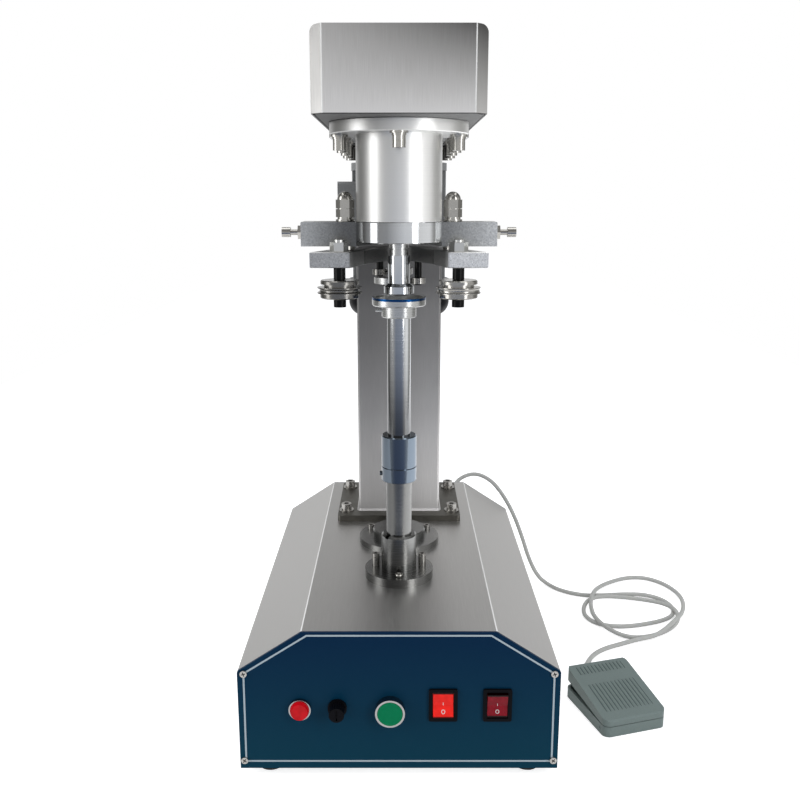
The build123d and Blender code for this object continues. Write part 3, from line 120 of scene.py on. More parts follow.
# %% [markdown]
# ## Wiring a finish
# A finish is a small tree of nodes. These helpers link two sockets or set a constant, and hold the steps
# that most finishes share: a sum, a mix of two colours, a ramp, and the coordinates of the piece.


# %% Link, calculate, mix and ramp
def feed(tree, socket, value):
    """Link a socket to the value where that is a socket as well, or else make it the socket's constant."""
    if isinstance(value, bpy.types.NodeSocket):
        tree.links.new(value, socket)
    else:
        socket.default_value = value


def calculate(tree, operation, first, second=0.0):
    """One Math node on two values."""
    node = tree.nodes.new("ShaderNodeMath")
    node.operation = operation
    feed(tree, node.inputs[0], first)
    feed(tree, node.inputs[1], second)
    return node.outputs["Value"]


def mix(tree, first, second, factor=1.0, blend_type="MIX"):
    """One Mix node on two colours."""
    node = tree.nodes.new("ShaderNodeMix")
    node.data_type = "RGBA"
    node.blend_type = blend_type
    feed(tree, node.inputs["Factor"], factor)
    feed(tree, node.inputs["A"], first)
    feed(tree, node.inputs["B"], second)
    return node.outputs["Result"]


def rescale(tree, value, start, end, low=0.0, high=1.0):
    """Carry a value from the range start to end over to low to high, and hold it there."""
    node = tree.nodes.new("ShaderNodeMapRange")
    for name, number in (("From Min", start), ("From Max", end), ("To Min", low), ("To Max", high)):
        node.inputs[name].default_value = number
    tree.links.new(value, node.inputs["Value"])
    return node.outputs["Result"]


def opaque(shade):
    """Colour without transparency, from a triple or a grey."""
    return (*shade, 1) if isinstance(shade, tuple) else (shade, shade, shade, 1)


def ramp(tree, value, stops, interpolation="LINEAR"):
    """Colour ramp through stops of (place from 0 to 1, triple or grey), in rising order."""
    node = tree.nodes.new("ShaderNodeValToRGB")
    node.color_ramp.interpolation = interpolation
    first, last = node.color_ramp.elements
    first.position, first.color = stops[0][0], opaque(stops[0][1])
    last.position, last.color = stops[-1][0], opaque(stops[-1][1])
    for place, shade in stops[1:-1]:
        node.color_ramp.elements.new(place).color = opaque(shade)
    tree.links.new(value, node.inputs["Fac"])
    return node.outputs["Color"]


def split(tree, vector):
    """The X, Y and Z of a vector, as sockets."""
    node = tree.nodes.new("ShaderNodeSeparateXYZ")
    tree.links.new(vector, node.inputs["Vector"])
    return node.outputs


def on_piece(tree):
    """The piece's own coordinates in metres, which stay with it when it moves."""
    return tree.nodes.new("ShaderNodeTexCoord").outputs["Object"]


# %% [markdown]
# ## Materials
# One builder holds the parts that most finishes share: a base colour, fine noise that varies colour and
# roughness, and a bump. Brushed metal stretches its noise along the brushing, turned metal wraps it round
# the axis, and plastic keeps it even.


# %% Build brushed, turned and moulded finishes
streaks_along_y, streaks_along_z, even_grain = (60, 1, 60), (60, 60, 1), (1, 1, 1)


def new_finish(name, colour, roughness, metallic=0.0):
    """Material with one Principled shader. Returns the material, its node tree and the shader."""
    finish = bpy.data.materials.new(name)
    finish.use_nodes = True
    tree = finish.node_tree
    shader = tree.nodes["Principled BSDF"]
    shader.inputs["Base Color"].default_value = opaque(colour)
    shader.inputs["Roughness"].default_value = roughness
    shader.inputs["Metallic"].default_value = metallic
    return finish, tree, shader


def noise(tree, vector, scale, detail):
    """Soft noise from about 0.3 to 0.7 at each point of a vector field."""
    node = tree.nodes.new("ShaderNodeTexNoise")
    node.inputs["Scale"].default_value = scale
    node.inputs["Detail"].default_value = detail
    tree.links.new(vector, node.inputs["Vector"])
    return node.outputs["Fac"]


def stretched_noise(tree, stretch, scale, detail=4.0):
    """Noise on the piece, squeezed along each axis by its stretch."""
    squeeze = tree.nodes.new("ShaderNodeMapping")
    squeeze.inputs["Scale"].default_value = stretch
    tree.links.new(on_piece(tree), squeeze.inputs["Vector"])
    return noise(tree, squeeze.outputs["Vector"], scale, detail)


def vary(tree, grain, socket, low, high):
    """Drive a socket by the grain, from its low to its high value. Colours are given as triples."""
    tree.links.new(ramp(tree, grain, [(0.3, low), (0.7, high)]), socket)


def times(colour, share):
    """Colour with each part multiplied by a share."""
    return tuple(part * share for part in colour)


def bump(tree, grain, shader, height):
    """Raise the surface by the grain, by a height in metres."""
    node = tree.nodes.new("ShaderNodeBump")
    node.inputs["Strength"].default_value = 1.0
    node.inputs["Distance"].default_value = height
    tree.links.new(grain, node.inputs["Height"])
    tree.links.new(node.outputs["Normal"], shader.inputs["Normal"])


def brushed(name, colour, roughness, stretch, scale, spread=0.06, height=0.00001, dark_share=0.88):
    """Metal brushed along the axis whose stretch is small. Its dark streaks keep a share of the colour."""
    finish, tree, shader = new_finish(name, colour, roughness, 1.0)
    grain = stretched_noise(tree, stretch, scale)
    vary(tree, grain, shader.inputs["Base Color"], times(colour, dark_share), colour)
    vary(tree, grain, shader.inputs["Roughness"], roughness - spread, roughness + spread)
    bump(tree, grain, shader, height)
    return finish


def about_seam(tree):
    """Distance from the upright seaming axis and height, as two sockets."""
    centre = tree.nodes.new("ShaderNodeMapping")
    centre.inputs["Location"].default_value = (-seam_x, -seam_y, 0)
    tree.links.new(on_piece(tree), centre.inputs["Vector"])
    place = split(tree, centre.outputs["Vector"])
    flat = tree.nodes.new("ShaderNodeCombineXYZ")
    tree.links.new(place["X"], flat.inputs["X"])
    tree.links.new(place["Y"], flat.inputs["Y"])
    length = tree.nodes.new("ShaderNodeVectorMath")
    length.operation = "LENGTH"
    tree.links.new(flat.outputs["Vector"], length.inputs[0])
    return length.outputs["Value"], place["Z"]


def turned(name, colour, roughness, height=0.000001):
    """Metal turned on a lathe about the seaming axis: fine rings that follow height and radius."""
    finish, tree, shader = new_finish(name, colour, roughness, 1.0)
    radius, rise = about_seam(tree)
    rings = tree.nodes.new("ShaderNodeCombineXYZ")
    tree.links.new(radius, rings.inputs["X"])
    tree.links.new(rise, rings.inputs["Z"])
    grain = noise(tree, rings.outputs["Vector"], scale=5000.0, detail=2.0)
    vary(tree, grain, shader.inputs["Base Color"], times(colour, 0.86), colour)
    vary(tree, grain, shader.inputs["Roughness"], roughness - 0.04, roughness + 0.06)
    bump(tree, grain, shader, height)
    return finish


def moulded(name, colour, roughness, scale=1400.0, height=0.00003, tint=0.12, gloss=0.3):
    """Plastic, rubber or paint with an even fine grain. A low gloss keeps a deep colour deep."""
    finish, tree, shader = new_finish(name, colour, roughness)
    shader.inputs["Specular IOR Level"].default_value = gloss
    grain = stretched_noise(tree, even_grain, scale, detail=2.0)
    vary(tree, grain, shader.inputs["Base Color"], times(colour, 1 - tint), colour)
    bump(tree, grain, shader, height)
    return finish


# %% [markdown]
# ## Light and dark along a piece
# Polished and turned steel carries the studio's dark and light cards as broad bands. Where a band belongs
# to one piece only, it is a painted reflection: the colour is multiplied by a share that runs along one
# axis of the piece. The same helper paints light and shade on sheets and blocks. A painted picture would
# do it too, but a ramp is shorter and stays sharp at any size.


# %% Shade a finish along an axis
def shader_of(finish):
    """Node tree and Principled shader of a finish."""
    return finish.node_tree, finish.node_tree.nodes["Principled BSDF"]


def recolour(tree, socket, second, factor, blend_type):
    """Mix a second colour into whatever feeds a colour socket now."""
    first = socket.links[0].from_socket if socket.links else tuple(socket.default_value)
    tree.links.new(mix(tree, first, second, factor, blend_type), socket)


def share_along(finish, axis, origin, stops):
    """Paint light and shade: multiply the colour by a share, linear between stops of (metres from the origin,
    share).
    """
    tree, shader = shader_of(finish)
    first, last = stops[0][0], stops[-1][0]
    part = rescale(tree, split(tree, on_piece(tree))[axis], origin + first, origin + last)
    shares = ramp(tree, part, [((spot - first) / (last - first), share) for spot, share in stops])
    recolour(tree, shader.inputs["Base Color"], shares, 1.0, "MULTIPLY")


# %% [markdown]
# ## Painted highlights on the folds
# Where sheet steel is folded, the edge catches every light as a thin pale line. The fold is too sharp to
# show one by itself at this size, so a painted highlight turns the finish pale and matt within a hair of it.


# %% Paint highlights on the folds
def paint_fold_highlights(finish, fold_offset, half_width, in_front_of=None):
    """Paint highlights: turn thin lines at x = axis - offset and x = axis + offset pale and matt.

    A point is on a line where | |x - axis| - offset | is under the half width.
    """
    tree, shader = shader_of(finish)
    place = split(tree, on_piece(tree))
    from_axis = calculate(tree, "ABSOLUTE", calculate(tree, "SUBTRACT", place["X"], seam_x))
    from_line = calculate(tree, "ABSOLUTE", calculate(tree, "SUBTRACT", from_axis, fold_offset))
    on_line = calculate(tree, "LESS_THAN", from_line, half_width)
    if in_front_of is not None:
        ahead = calculate(tree, "LESS_THAN", place["Y"], in_front_of)
        on_line = calculate(tree, "MULTIPLY", on_line, ahead)
    recolour(tree, shader.inputs["Base Color"], (0.85, 0.85, 0.83, 1), on_line, "MIX")
    tree.links.new(calculate(tree, "SUBTRACT", 1.0, on_line), shader.inputs["Metallic"])


# %% [markdown]
# ## The base's steel
# The base is one folded sheet of stainless steel, brushed from front to rear. Noise that is squeezed
# across the brushing gives long fine streaks without any picture. The left slope gets a little painted
# shade.

# %% Brush the base
deck_half_width = 0.096
sheet_scale = 40.0
stainless = brushed("brushed_stainless", (0.62, 0.612, 0.6), 0.36, streaks_along_y, sheet_scale)
# Painted shade: the left slope is darker.
share_along(stainless, "X", seam_x, [(-0.16, 0.78), (-0.05, 0.84), (0.0, 0.84), (0.06, 1.0)])
# Painted highlights along the deck's folds.
paint_fold_highlights(stainless, deck_half_width, half_width=0.0007)
print("deck folds at", deck_half_width)

# %% [markdown]
# ## The head cover
# The cover is a long folded hood, brushed from top to bottom. Painted light and shade make its front
# bright at the lower left and grey towards the upper right, as a sheet under a soft lamp looks. Its folded
# sides get painted shade, and a painted dark line along its lower edge stands for the shade in the gap
# to the head plate.


# %% Brush the cover
def shade_sheet(finish, node, low_share, high_share):
    """Paint shade on a sheet: multiply its colour by a share that falls with height, more so to the right.

    With x and z from 0 to 1 over the node, the fall is z times (0.3 + 0.7 x).
    """
    tree, shader = shader_of(finish)
    low, high = span(node)
    place = split(tree, on_piece(tree))
    across = rescale(tree, place["X"], low[0], high[0], 0.3, 1.0)
    fall = calculate(tree, "MULTIPLY", across, rescale(tree, place["Z"], low[2], high[2]))
    shares = ramp(tree, fall, [(0.0, low_share), (1.0, high_share)])
    recolour(tree, shader.inputs["Base Color"], shares, 1.0, "MULTIPLY")


cover_low, cover_high = span("head_cover")
cover_half_width, cover_corner = 0.0803, 0.0113
cover_fold = cover_half_width - cover_corner
past_fold = cover_fold + 0.001
cover_steel = brushed("cover_steel", (0.92, 0.91, 0.895), 0.36, streaks_along_z, sheet_scale)
# Painted light and shade over the cover's front.
shade_sheet(cover_steel, "head_cover", 1.0, 0.14)
# Painted shade on the folded sides.
share_along(cover_steel, "X", seam_x, [
    (-past_fold, 0.74), (-cover_fold, 1.0), (cover_fold, 1.0), (past_fold, 0.74),
])
# Painted highlights along the cover's front folds.
paint_fold_highlights(cover_steel, cover_fold, half_width=0.0006, in_front_of=cover_low[1] + 0.004)
# Painted shade: a dark line along the lower edge, where the gap to the head plate is.
share_along(cover_steel, "Z", cover_low[2], [(0.0, 0.08), (0.0003, 0.08), (0.0006, 1.0)])
print("cover folds at", round(cover_fold, 4))

# %% [markdown]
# ## The column
# The square column is brushed from top to bottom as well. It stands in the shade of the head, so painted
# shade makes it bright at its foot and dark at its top, and a little darker on the left. The sheet is
# also dull, hence the lower metallic value.

# %% Brush the column
column_steel = brushed("column_steel", (0.8, 0.785, 0.775), 0.42, streaks_along_z, sheet_scale)
shader_of(column_steel)[1].inputs["Metallic"].default_value = 0.55
column_low, column_high = span("column")
column_rise = column_high[2] - column_low[2]
column_shares = [
    (0.0, 1.0), (0.1, 0.98), (0.2, 0.82), (0.28, 0.62), (0.36, 0.48), (0.47, 0.35), (0.56, 0.3), (0.64, 0.2),
]
# Painted shade: darker on the left.
share_along(column_steel, "X", seam_x, [(-0.035, 0.72), (0.035, 1.0)])
# Painted shade from the head above: darker towards the top.
share_along(column_steel, "Z", column_low[2], [(part * column_rise, share) for part, share in column_shares])
print("column shares:", len(column_shares))

# %% [markdown]
# ## Arms, bars and the head plate
# The two arms and the side bars are sawn and milled blocks with a rough, patchy skin. Their noise is even
# in all directions, and its bump is over ten times deeper than on the sheets. Close to the bearing
# housing the blocks get painted shade, and the bars get painted light towards the right. The head plate
# is seen edge on, where it is matt and dark, with painted shade at both ends and on its left half.

# %% Mill the blocks
milled = brushed("milled_steel", (0.5, 0.505, 0.5), 0.34, even_grain, 700.0, 0.08, 0.00012)
arm_steel = brushed("arm_steel", (0.95, 0.955, 0.95), 0.34, even_grain, 800.0, 0.08, 0.00014, 0.62)
# Painted shade on the arms close to the bearing housing.
share_along(arm_steel, "X", seam_x, [(-0.052, 0.58), (-0.047, 0.16), (0.047, 0.16), (0.052, 1.0)])
bar_steel = brushed("bar_steel", (0.76, 0.77, 0.765), 0.38, even_grain, 700.0, 0.1, 0.00016, 0.66)
# Painted shade near the housing, painted light towards the right.
share_along(bar_steel, "X", seam_x, [
    (-0.098, 0.76), (-0.06, 0.26), (-0.05, 0.24), (0.05, 0.42), (0.098, 1.0),
])
plate_steel = moulded("plate_steel", (0.34, 0.34, 0.335), 0.6, gloss=0.1)
# Painted shade at the plate's ends and on its left half.
share_along(plate_steel, "X", seam_x, [
    (-0.0765, 0.03), (-0.076, 0.45), (-0.02, 0.5), (0.03, 1.0), (0.0775, 1.0), (0.078, 0.1),
])
print("finishes so far:", len(bpy.data.materials))

# %% [markdown]
# ## Turned and polished steel
# The bearing housing, the lift guide, the chuck, the ring, the rod and its sleeve were turned on a lathe.
# A fine noise on radius and height gives the tool's rings. The rod and the chuck are polished. The
# sleeve's bluish dark colour is a painted reflection of the bluish dark room. Most of them carry painted
# reflections as bands from left to right, and the rod gets painted shade towards its sleeve.

# %% Turn the round pieces
polish = 0.0000005
housing_steel = turned("housing_steel", (0.95, 0.95, 0.935), 0.34)
# Painted reflection: bands, darker on the left.
share_along(housing_steel, "X", seam_x, [
    (-0.05, 0.42), (-0.02, 0.52), (0.0, 0.86), (0.02, 0.95), (0.04, 1.0),
])
seam_turned = turned("turned_steel", (0.5, 0.505, 0.5), 0.27)
guide_steel = turned("guide_steel", (0.42, 0.423, 0.415), 0.24)
# Painted reflection: dark and light bands across the guide.
share_along(guide_steel, "X", seam_x, [
    (-0.03, 0.6), (-0.013, 0.23), (0.0, 0.37), (0.012, 0.74), (0.03, 0.85),
])
seam_polished = turned("polished_steel", (0.54, 0.56, 0.58), 0.1, polish)
ring_steel = turned("ring_steel", (0.72, 0.735, 0.75), 0.1, polish)
# Painted reflection: darker on the left.
share_along(ring_steel, "X", seam_x, [(-0.04, 0.34), (-0.012, 0.4), (0.006, 0.9), (0.03, 1.0)])
rod_steel = turned("rod_steel", (0.86, 0.88, 0.9), 0.1, polish)
# Painted reflection: darker on the left.
share_along(rod_steel, "X", seam_x, [(-0.01, 0.36), (0.002, 0.55), (0.01, 1.0)])
# Painted shade: darker towards the sleeve.
share_along(rod_steel, "Z", 0.0, [(0.327, 0.28), (0.349, 0.4), (0.371, 0.62), (0.393, 0.8), (0.43, 1.0)])
# Painted reflection: the sleeve's bluish dark colour and its bands.
sleeve_steel = turned("sleeve_steel", (0.235, 0.285, 0.345), 0.1, polish)
share_along(sleeve_steel, "X", seam_x, [(-0.014, 0.42), (0.0, 0.55), (0.014, 1.0)])
print("finishes so far:", len(bpy.data.materials))

# %% [markdown]
# ## Screws, rollers and other small metal
# Cap screws, rollers and bezels are bright, the screws of the base duller, and the plate under the column
# nearly black. At this size a faint even grain is enough, and only the rollers get painted shade on the left.

# %% Small metal
bright = brushed("bright_steel", (0.42, 0.41, 0.385), 0.2, even_grain, 300.0, 0.02, 0.000002)
roller_steel = brushed("roller_steel", (0.36, 0.35, 0.33), 0.22, even_grain, 300.0)
# Painted shade: darker on the left.
share_along(roller_steel, "X", seam_x, [(-0.02, 0.5), (0.02, 1.0)])
dull_screw = brushed("dull_screw", (0.4, 0.39, 0.37), 0.3, even_grain, 300.0)
dark_plate = brushed("dark_plate", (0.14, 0.135, 0.12), 0.45, even_grain, 120.0)
chrome = brushed("bezel_chrome", (0.34, 0.33, 0.33), 0.18, even_grain, 250.0, 0.03, 0.000002)
bronze = brushed("bronze", (0.6, 0.4, 0.18), 0.35, even_grain, 200.0)
print("finishes so far:", len(bpy.data.materials))

# %% [markdown]
# ## Paint, plastic and rubber
# The motor and the gearmotors are painted castings, the pedal is moulded in grey-green plastic, the feet
# are rubber, and the cord has a smooth vinyl skin. They differ in colour, in gloss and in how deep their
# even grain is, so one builder makes them all.

# %% Paint, plastic and rubber
sheet_grey = moulded("sheet_grey", (0.4, 0.41, 0.42), 0.45)
motor_grey = moulded("motor_grey", (0.26, 0.265, 0.265), 0.5, 500.0, 0.00006)
cast_grey = moulded("cast_grey", (0.16, 0.17, 0.18), 0.5, 500.0, 0.00006)
black_plastic = moulded("black_plastic", (0.003, 0.003, 0.0045), 0.42, gloss=0.05)
black_rubber = moulded("black_rubber", (0.015, 0.015, 0.015), 0.75, 900.0, 0.00006)
pedal_plastic = moulded("pedal_plastic", (0.185, 0.235, 0.225), 0.5, 1100.0, 0.00005)
# Painted shade for the grooves between the pedal's ribs.
groove_painted_shade = moulded("groove_painted_shade", (0.075, 0.105, 0.1), 0.7, 1100.0, 0.00002)
cord_skin = moulded("cord_skin", (0.5, 0.505, 0.485), 0.48, 500.0, 0.00002, 0.05)
green_plastic = moulded("green_plastic", (0.001, 0.2, 0.08), 0.32, 900.0, 0.00001, gloss=0.06)
print("finishes so far:", len(bpy.data.materials))

# %% [markdown]
# ## The panel's blue
# The panel is a painted plate. Its blue is deep at the top, and painted light from the pale bench below
# makes it a little lighter near the bench. A gradient on the height of the panel mixes two blues, and the
# shader's reflection is kept low, so that the pale room doesn't wash the colour out.

# %% Blue paint that lightens downwards
panel_low, panel_high = span("front_panel")
panel_blue, blue_tree, blue_shader = new_finish("panel_blue", (0.003, 0.03, 0.06), 0.4)
blue_shader.inputs["Specular IOR Level"].default_value = 0.06
blue_height = rescale(blue_tree, split(blue_tree, on_piece(blue_tree))["Z"], panel_low[2], panel_high[2])
# Painted light: the blue is lighter towards the bench.
panel_blues_with_painted_light = ramp(blue_tree, blue_height, [(0.0, (0.002, 0.04, 0.07)), (1.0, (0.0002, 0.018, 0.055))])
blue_tree.links.new(panel_blues_with_painted_light, blue_shader.inputs["Base Color"])
bump(blue_tree, stretched_noise(blue_tree, even_grain, 500.0, detail=2.0), blue_shader, 0.00001)
print("panel height", round(panel_high[2] - panel_low[2], 4))

# %% [markdown]
# ## Roller pins
# The nut on each roller arm is bright, but the pin below the arm is nearly black. Both are one node, so
# the height on the piece picks the colour.

# %% Steel that turns black below the arm
pin_bright, pin_black = (0.6, 0.6, 0.58), (0.012, 0.012, 0.012)
arm_low, arm_high = span("left_arm")
arm_middle = (arm_low[2] + arm_high[2]) / 2
pin_steel, pin_tree, pin_shader = new_finish("roller_pin_steel", pin_bright, 0.28, 1.0)
above_arm = calculate(pin_tree, "GREATER_THAN", split(pin_tree, on_piece(pin_tree))["Z"], arm_middle)
pin_colour = mix(pin_tree, opaque(pin_black), opaque(pin_bright), above_arm)
pin_tree.links.new(pin_colour, pin_shader.inputs["Base Color"])
bump(pin_tree, stretched_noise(pin_tree, even_grain, 900.0), pin_shader, 0.000005)
print("pins turn black below", round(arm_middle, 4))

# %% [markdown]
# ## The tray's painted blue line
# A thin blue line shows round the upper edge of the tray, where a gap reflects the bluish room; it is a
# painted reflection. It may be film that was left on or a reflection. The tray's finish turns blue where a
# point lies high enough on the outer wall.

# %% Turned steel with a blue line
tray_low, tray_high = span("can_tray")
tray_radius = (tray_high[0] - tray_low[0]) / 2
tray_line_depth, tray_line_height = 0.0007, 0.0024
tray_steel = turned("tray_steel", (0.5, 0.505, 0.5), 0.27)
tray_tree, tray_shader = shader_of(tray_steel)
tray_reach, tray_rise = about_seam(tray_tree)
on_wall = calculate(tray_tree, "GREATER_THAN", tray_reach, tray_radius - tray_line_depth)
near_top = calculate(tray_tree, "GREATER_THAN", tray_rise, tray_high[2] - tray_line_height)
# Painted reflection: a thin blue band near the top of the outer wall.
on_painted_reflection = calculate(tray_tree, "MULTIPLY", on_wall, near_top)
recolour(tray_tree, tray_shader.inputs["Base Color"], (0.004, 0.045, 0.15, 1), on_painted_reflection, "MIX")
print("tray radius", round(tray_radius, 4))

# %% [markdown]
# ## Lit plastics
# The lamp and the rockers are clear red plastic. A little emission stands for the neon behind them,
# brighter in the switch that is on. The frame of a switch shades the upper and lower end of its rocker,
# so those ends go dark.


# %% Red plastics
def lit_plastic(name, colour, glow):
    """Glossy clear plastic with a faint light behind it."""
    finish, tree, shader = new_finish(name, colour, 0.18)
    shader.inputs["Specular IOR Level"].default_value = 0.12
    shader.inputs["Emission Color"].default_value = opaque(colour)
    shader.inputs["Emission Strength"].default_value = glow
    cloud = stretched_noise(tree, even_grain, 160.0, detail=1.0)
    vary(tree, cloud, shader.inputs["Base Color"], times(colour, 0.7), colour)
    return finish


def dark_ends(finish, node, share):
    """Let the piece go dark in the lowest and highest share of its height, where its frame shades it."""
    tree, shader = shader_of(finish)
    low, high = span(node)
    dark, start = 0.02, share * 0.6
    height = rescale(tree, split(tree, on_piece(tree))["Z"], low[2], high[2])
    shades = ramp(tree, height, [(start, dark), (share, 1.0), (1 - share, 1.0), (1 - start, dark)])
    for socket in ("Base Color", "Emission Color"):
        recolour(tree, shader.inputs[socket], shades, 1.0, "MULTIPLY")


lamp_red = lit_plastic("lamp_red", (0.5, 0.003, 0.008), 0.25)
rocker_on = lit_plastic("rocker_on", (0.62, 0.014, 0.01), 0.5)
rocker_off = lit_plastic("rocker_off", (0.24, 0.002, 0.012), 0.08)
frame_shade = 0.1
dark_ends(rocker_on, "power_rocker", frame_shade)
dark_ends(rocker_off, "auto_rocker", frame_shade)
print("finishes:", len(bpy.data.materials))

# %% [markdown]
# ## Dress the pieces
# Every node of the CAD model has its own material slots. One table says which finish each node gets, and
# the loop puts it into all slots of the node. The nodes that the cord replaces aren't in the table.

# %% Give every node its finish
finish_of = {
    stainless: ["base_housing"],
    cover_steel: ["head_cover"],
    panel_blue: ["front_panel"],
    sheet_grey: ["back_panel", "base_floor"],
    black_rubber: ["rubber_feet", "drive_belt"],
    chrome: ["panel_bezels"],
    lamp_red: ["lamp_lens"],
    black_plastic: ["fuse_holder", "fuse_cap", "switch_frames", "fan_cover", "cord_glands"],
    green_plastic: ["jog_button"],
    rocker_on: ["power_rocker"],
    rocker_off: ["auto_rocker"],
    dark_plate: ["column_plate"],
    column_steel: ["column"],
    housing_steel: ["spindle_housing"],
    guide_steel: ["gearbox_cap", "lift_guide", "lift_tube"],
    tray_steel: ["can_tray"],
    seam_turned: ["tray_collar", "spindle", "cam_housing", "camshaft", "motor_rotor"],
    seam_polished: ["seaming_chuck"],
    ring_steel: ["housing_ring"],
    rod_steel: ["centre_rod"],
    sleeve_steel: ["height_sleeve"],
    pin_steel: ["left_arm_pins", "right_arm_pins"],
    dull_screw: ["base_screws"],
    bright: ["head_fasteners", "left_pivot", "right_pivot"],
    roller_steel: ["left_roller", "right_roller", "left_follower", "right_follower"],
    arm_steel: ["left_arm", "right_arm"],
    bar_steel: ["side_bars"],
    plate_steel: ["head_plate"],
    milled: ["lift_cam", "seaming_cams"],
    motor_grey: ["motor_body", "cam_gearmotor"],
    cast_grey: ["lift_gearmotor", "spindle_pulley", "motor_pulley"],
    bronze: ["spindle_bearings"],
    pedal_plastic: ["pedal_base", "pedal_treadle"],
}
for finish, names in finish_of.items():
    for name in names:
        for material_slot in nodes[name].material_slots:
            material_slot.material = finish
print("nodes dressed:", sum(len(names) for names in finish_of.values()), "of", len(nodes))

# %% [markdown]
# ## The cord
# One smooth curve runs from the gland behind the base to the pedal. It falls off the base's corner, lies
# on the bench in two and a half loose turns, and crosses over itself in low humps.

# %% Route of the cord
cord_diameter = 0.0058
back_route = [
    (80.0, 344.7, 135.0), (80.0, 364.0, 135.0), (90.0, 378.0, 150.0), (115.0, 380.0, 160.0),
    (140.0, 370.0, 152.0), (160.0, 362.0, 128.0), (176.0, 356.0, 98.0), (188.0, 350.0, 66.0),
    (198.0, 343.0, 34.0), (210.0, 332.0, 11.0), (224.0, 318.0, 3.2), (240.0, 296.0, 3.0),
    (268.0, 280.0, 3.2),
]
coil_route = [
    (294.8, 280.0, 3.0), (332.7, 285.0, 3.0), (361.7, 283.0, 3.0), (384.0, 264.6, 3.0),
    (390.2, 236.0, 3.0), (380.0, 211.0, 3.0), (352.6, 194.0, 3.0), (307.0, 180.6, 3.0),
    (275.0, 186.0, 3.0), (259.0, 208.0, 3.0), (260.0, 236.0, 5.0), (276.0, 262.0, 8.0),
    (307.2, 273.0, 5.5), (348.3, 264.0, 5.0), (378.0, 243.0, 8.2), (388.3, 220.0, 8.6),
    (384.0, 194.0, 6.0), (364.0, 170.0, 4.0), (334.0, 152.0, 3.5), (304.0, 149.0, 3.4),
    (281.0, 168.0, 6.0), (268.0, 201.4, 8.6), (271.3, 238.6, 10.0), (280.0, 268.0, 10.5),
    (294.0, 298.0, 7.0), (319.9, 327.1, 3.4), (350.0, 344.0, 3.0), (378.0, 343.0, 3.0),
    (401.0, 320.0, 3.0), (412.0, 284.0, 3.0), (408.4, 250.0, 3.2), (394.0, 214.0, 6.0),
    (374.0, 184.0, 10.0), (356.0, 162.0, 9.0), (338.3, 149.0, 6.0),
]
pedal_route = [
    (316.0, 146.0, 3.2), (290.0, 133.0, 3.0), (266.0, 121.0, 3.1), (247.0, 104.0, 3.0),
    (235.0, 81.0, 3.4), (226.0, 60.0, 5.6),
]
print("route points:", len(back_route) + len(coil_route) + len(pedal_route))

# %% [markdown]
# ## The cord's end at the pedal
# The pedal lies a little turned on the bench, and the cord leaves its rear through a small gland. The last
# two points of the route lie on the gland's own axis, so that the cord leaves it straight.


# %% Find the pedal's gland
def to_world(points):
    """Route points in millimetres from the seaming axis, turned into metres in the frame."""
    return np.array(points) / 1000 + np.array([seam_x, seam_y, 0])


pedal_low, pedal_high = span("pedal_base")
pedal_middle = (pedal_low + pedal_high)[:2] / 2
pedal_turn = math.radians(16.8)
pedal_right = np.array([math.cos(pedal_turn), math.sin(pedal_turn)])
pedal_back = np.array([-math.sin(pedal_turn), math.cos(pedal_turn)])
pedal_half_length = 0.047
gland_side, gland_length, gland_height = -0.006, 0.009, 0.007


def gland_point(ahead):
    """Point on the axis of the pedal's gland, a distance out from its end."""
    flat = pedal_middle + pedal_right * gland_side + pedal_back * (pedal_half_length + gland_length + ahead)
    return [flat[0], flat[1], gland_height]


route = np.vstack([
    to_world(back_route), to_world(coil_route), to_world(pedal_route),
    [gland_point(0.012)], [gland_point(0.0)],
])
print("gland at", [round(v, 3) for v in route[-1]])

# %% [markdown]
# ## The cord's curve
# A cord could be modelled ring by ring, but a curve object does that itself. The route is the control
# polygon of a smooth curve of order three, which rounds every corner of it, and a round bevel gives the
# cord its thickness.


cord_curve = bpy.data.curves.new("pedal_cord", "CURVE")
cord_curve.dimensions = "3D"
spline = cord_curve.splines.new("NURBS")
spline.points.add(len(route) - 1)
spline.points.foreach_set("co", np.hstack([route, np.ones((len(route), 1))]).ravel())
spline.order_u = 3
spline.use_endpoint_u = True
spline.resolution_u = 8
cord_curve.bevel_depth = cord_diameter / 2
cord_curve.bevel_resolution = 6
cord_curve.use_fill_caps = True
cord_curve.materials.append(cord_skin)
pedal_cord = bpy.data.objects.new("pedal_cord", cord_curve)
scene.collection.objects.link(pedal_cord)
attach(pedal_cord, "machine")
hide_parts("cord_run_a", "cord_coil", "cord_run_b")

# %% [markdown]
# ## The pale line round the panel
# A thin pale line is printed a little inside the panel's edge. A picture on the panel would blur in a
# close-up, so the line is a closed ribbon: the corner points of its middle line are moved outwards and
# inwards along the mitre of the two edges that meet there.

# %% Draw the line
line_half_width = 0.0009
line_proud, line_sink = 0.00012, 0.0002
panel_front, base_bottom = panel_low[1:]
line_corners = np.array([
    (-0.0905, 0.1457), (0.0905, 0.1457), (0.1535, 0.105),
    (0.154, 0.0081), (-0.154, 0.0081), (-0.1535, 0.105),
])


def mitred(corners, distance):
    """Corners of a closed polygon, each moved along its mitre so that the edges move by the distance."""
    before = corners - np.roll(corners, 1, axis=0)
    after = np.roll(corners, -1, axis=0) - corners
    normals = [np.stack([edge[:, 1], -edge[:, 0]], axis=1) for edge in (before, after)]
    normals = [n / np.linalg.norm(n, axis=1, keepdims=True) for n in normals]
    mitre = normals[0] + normals[1]
    return corners + distance * 2 * mitre / (mitre**2).sum(axis=1, keepdims=True)


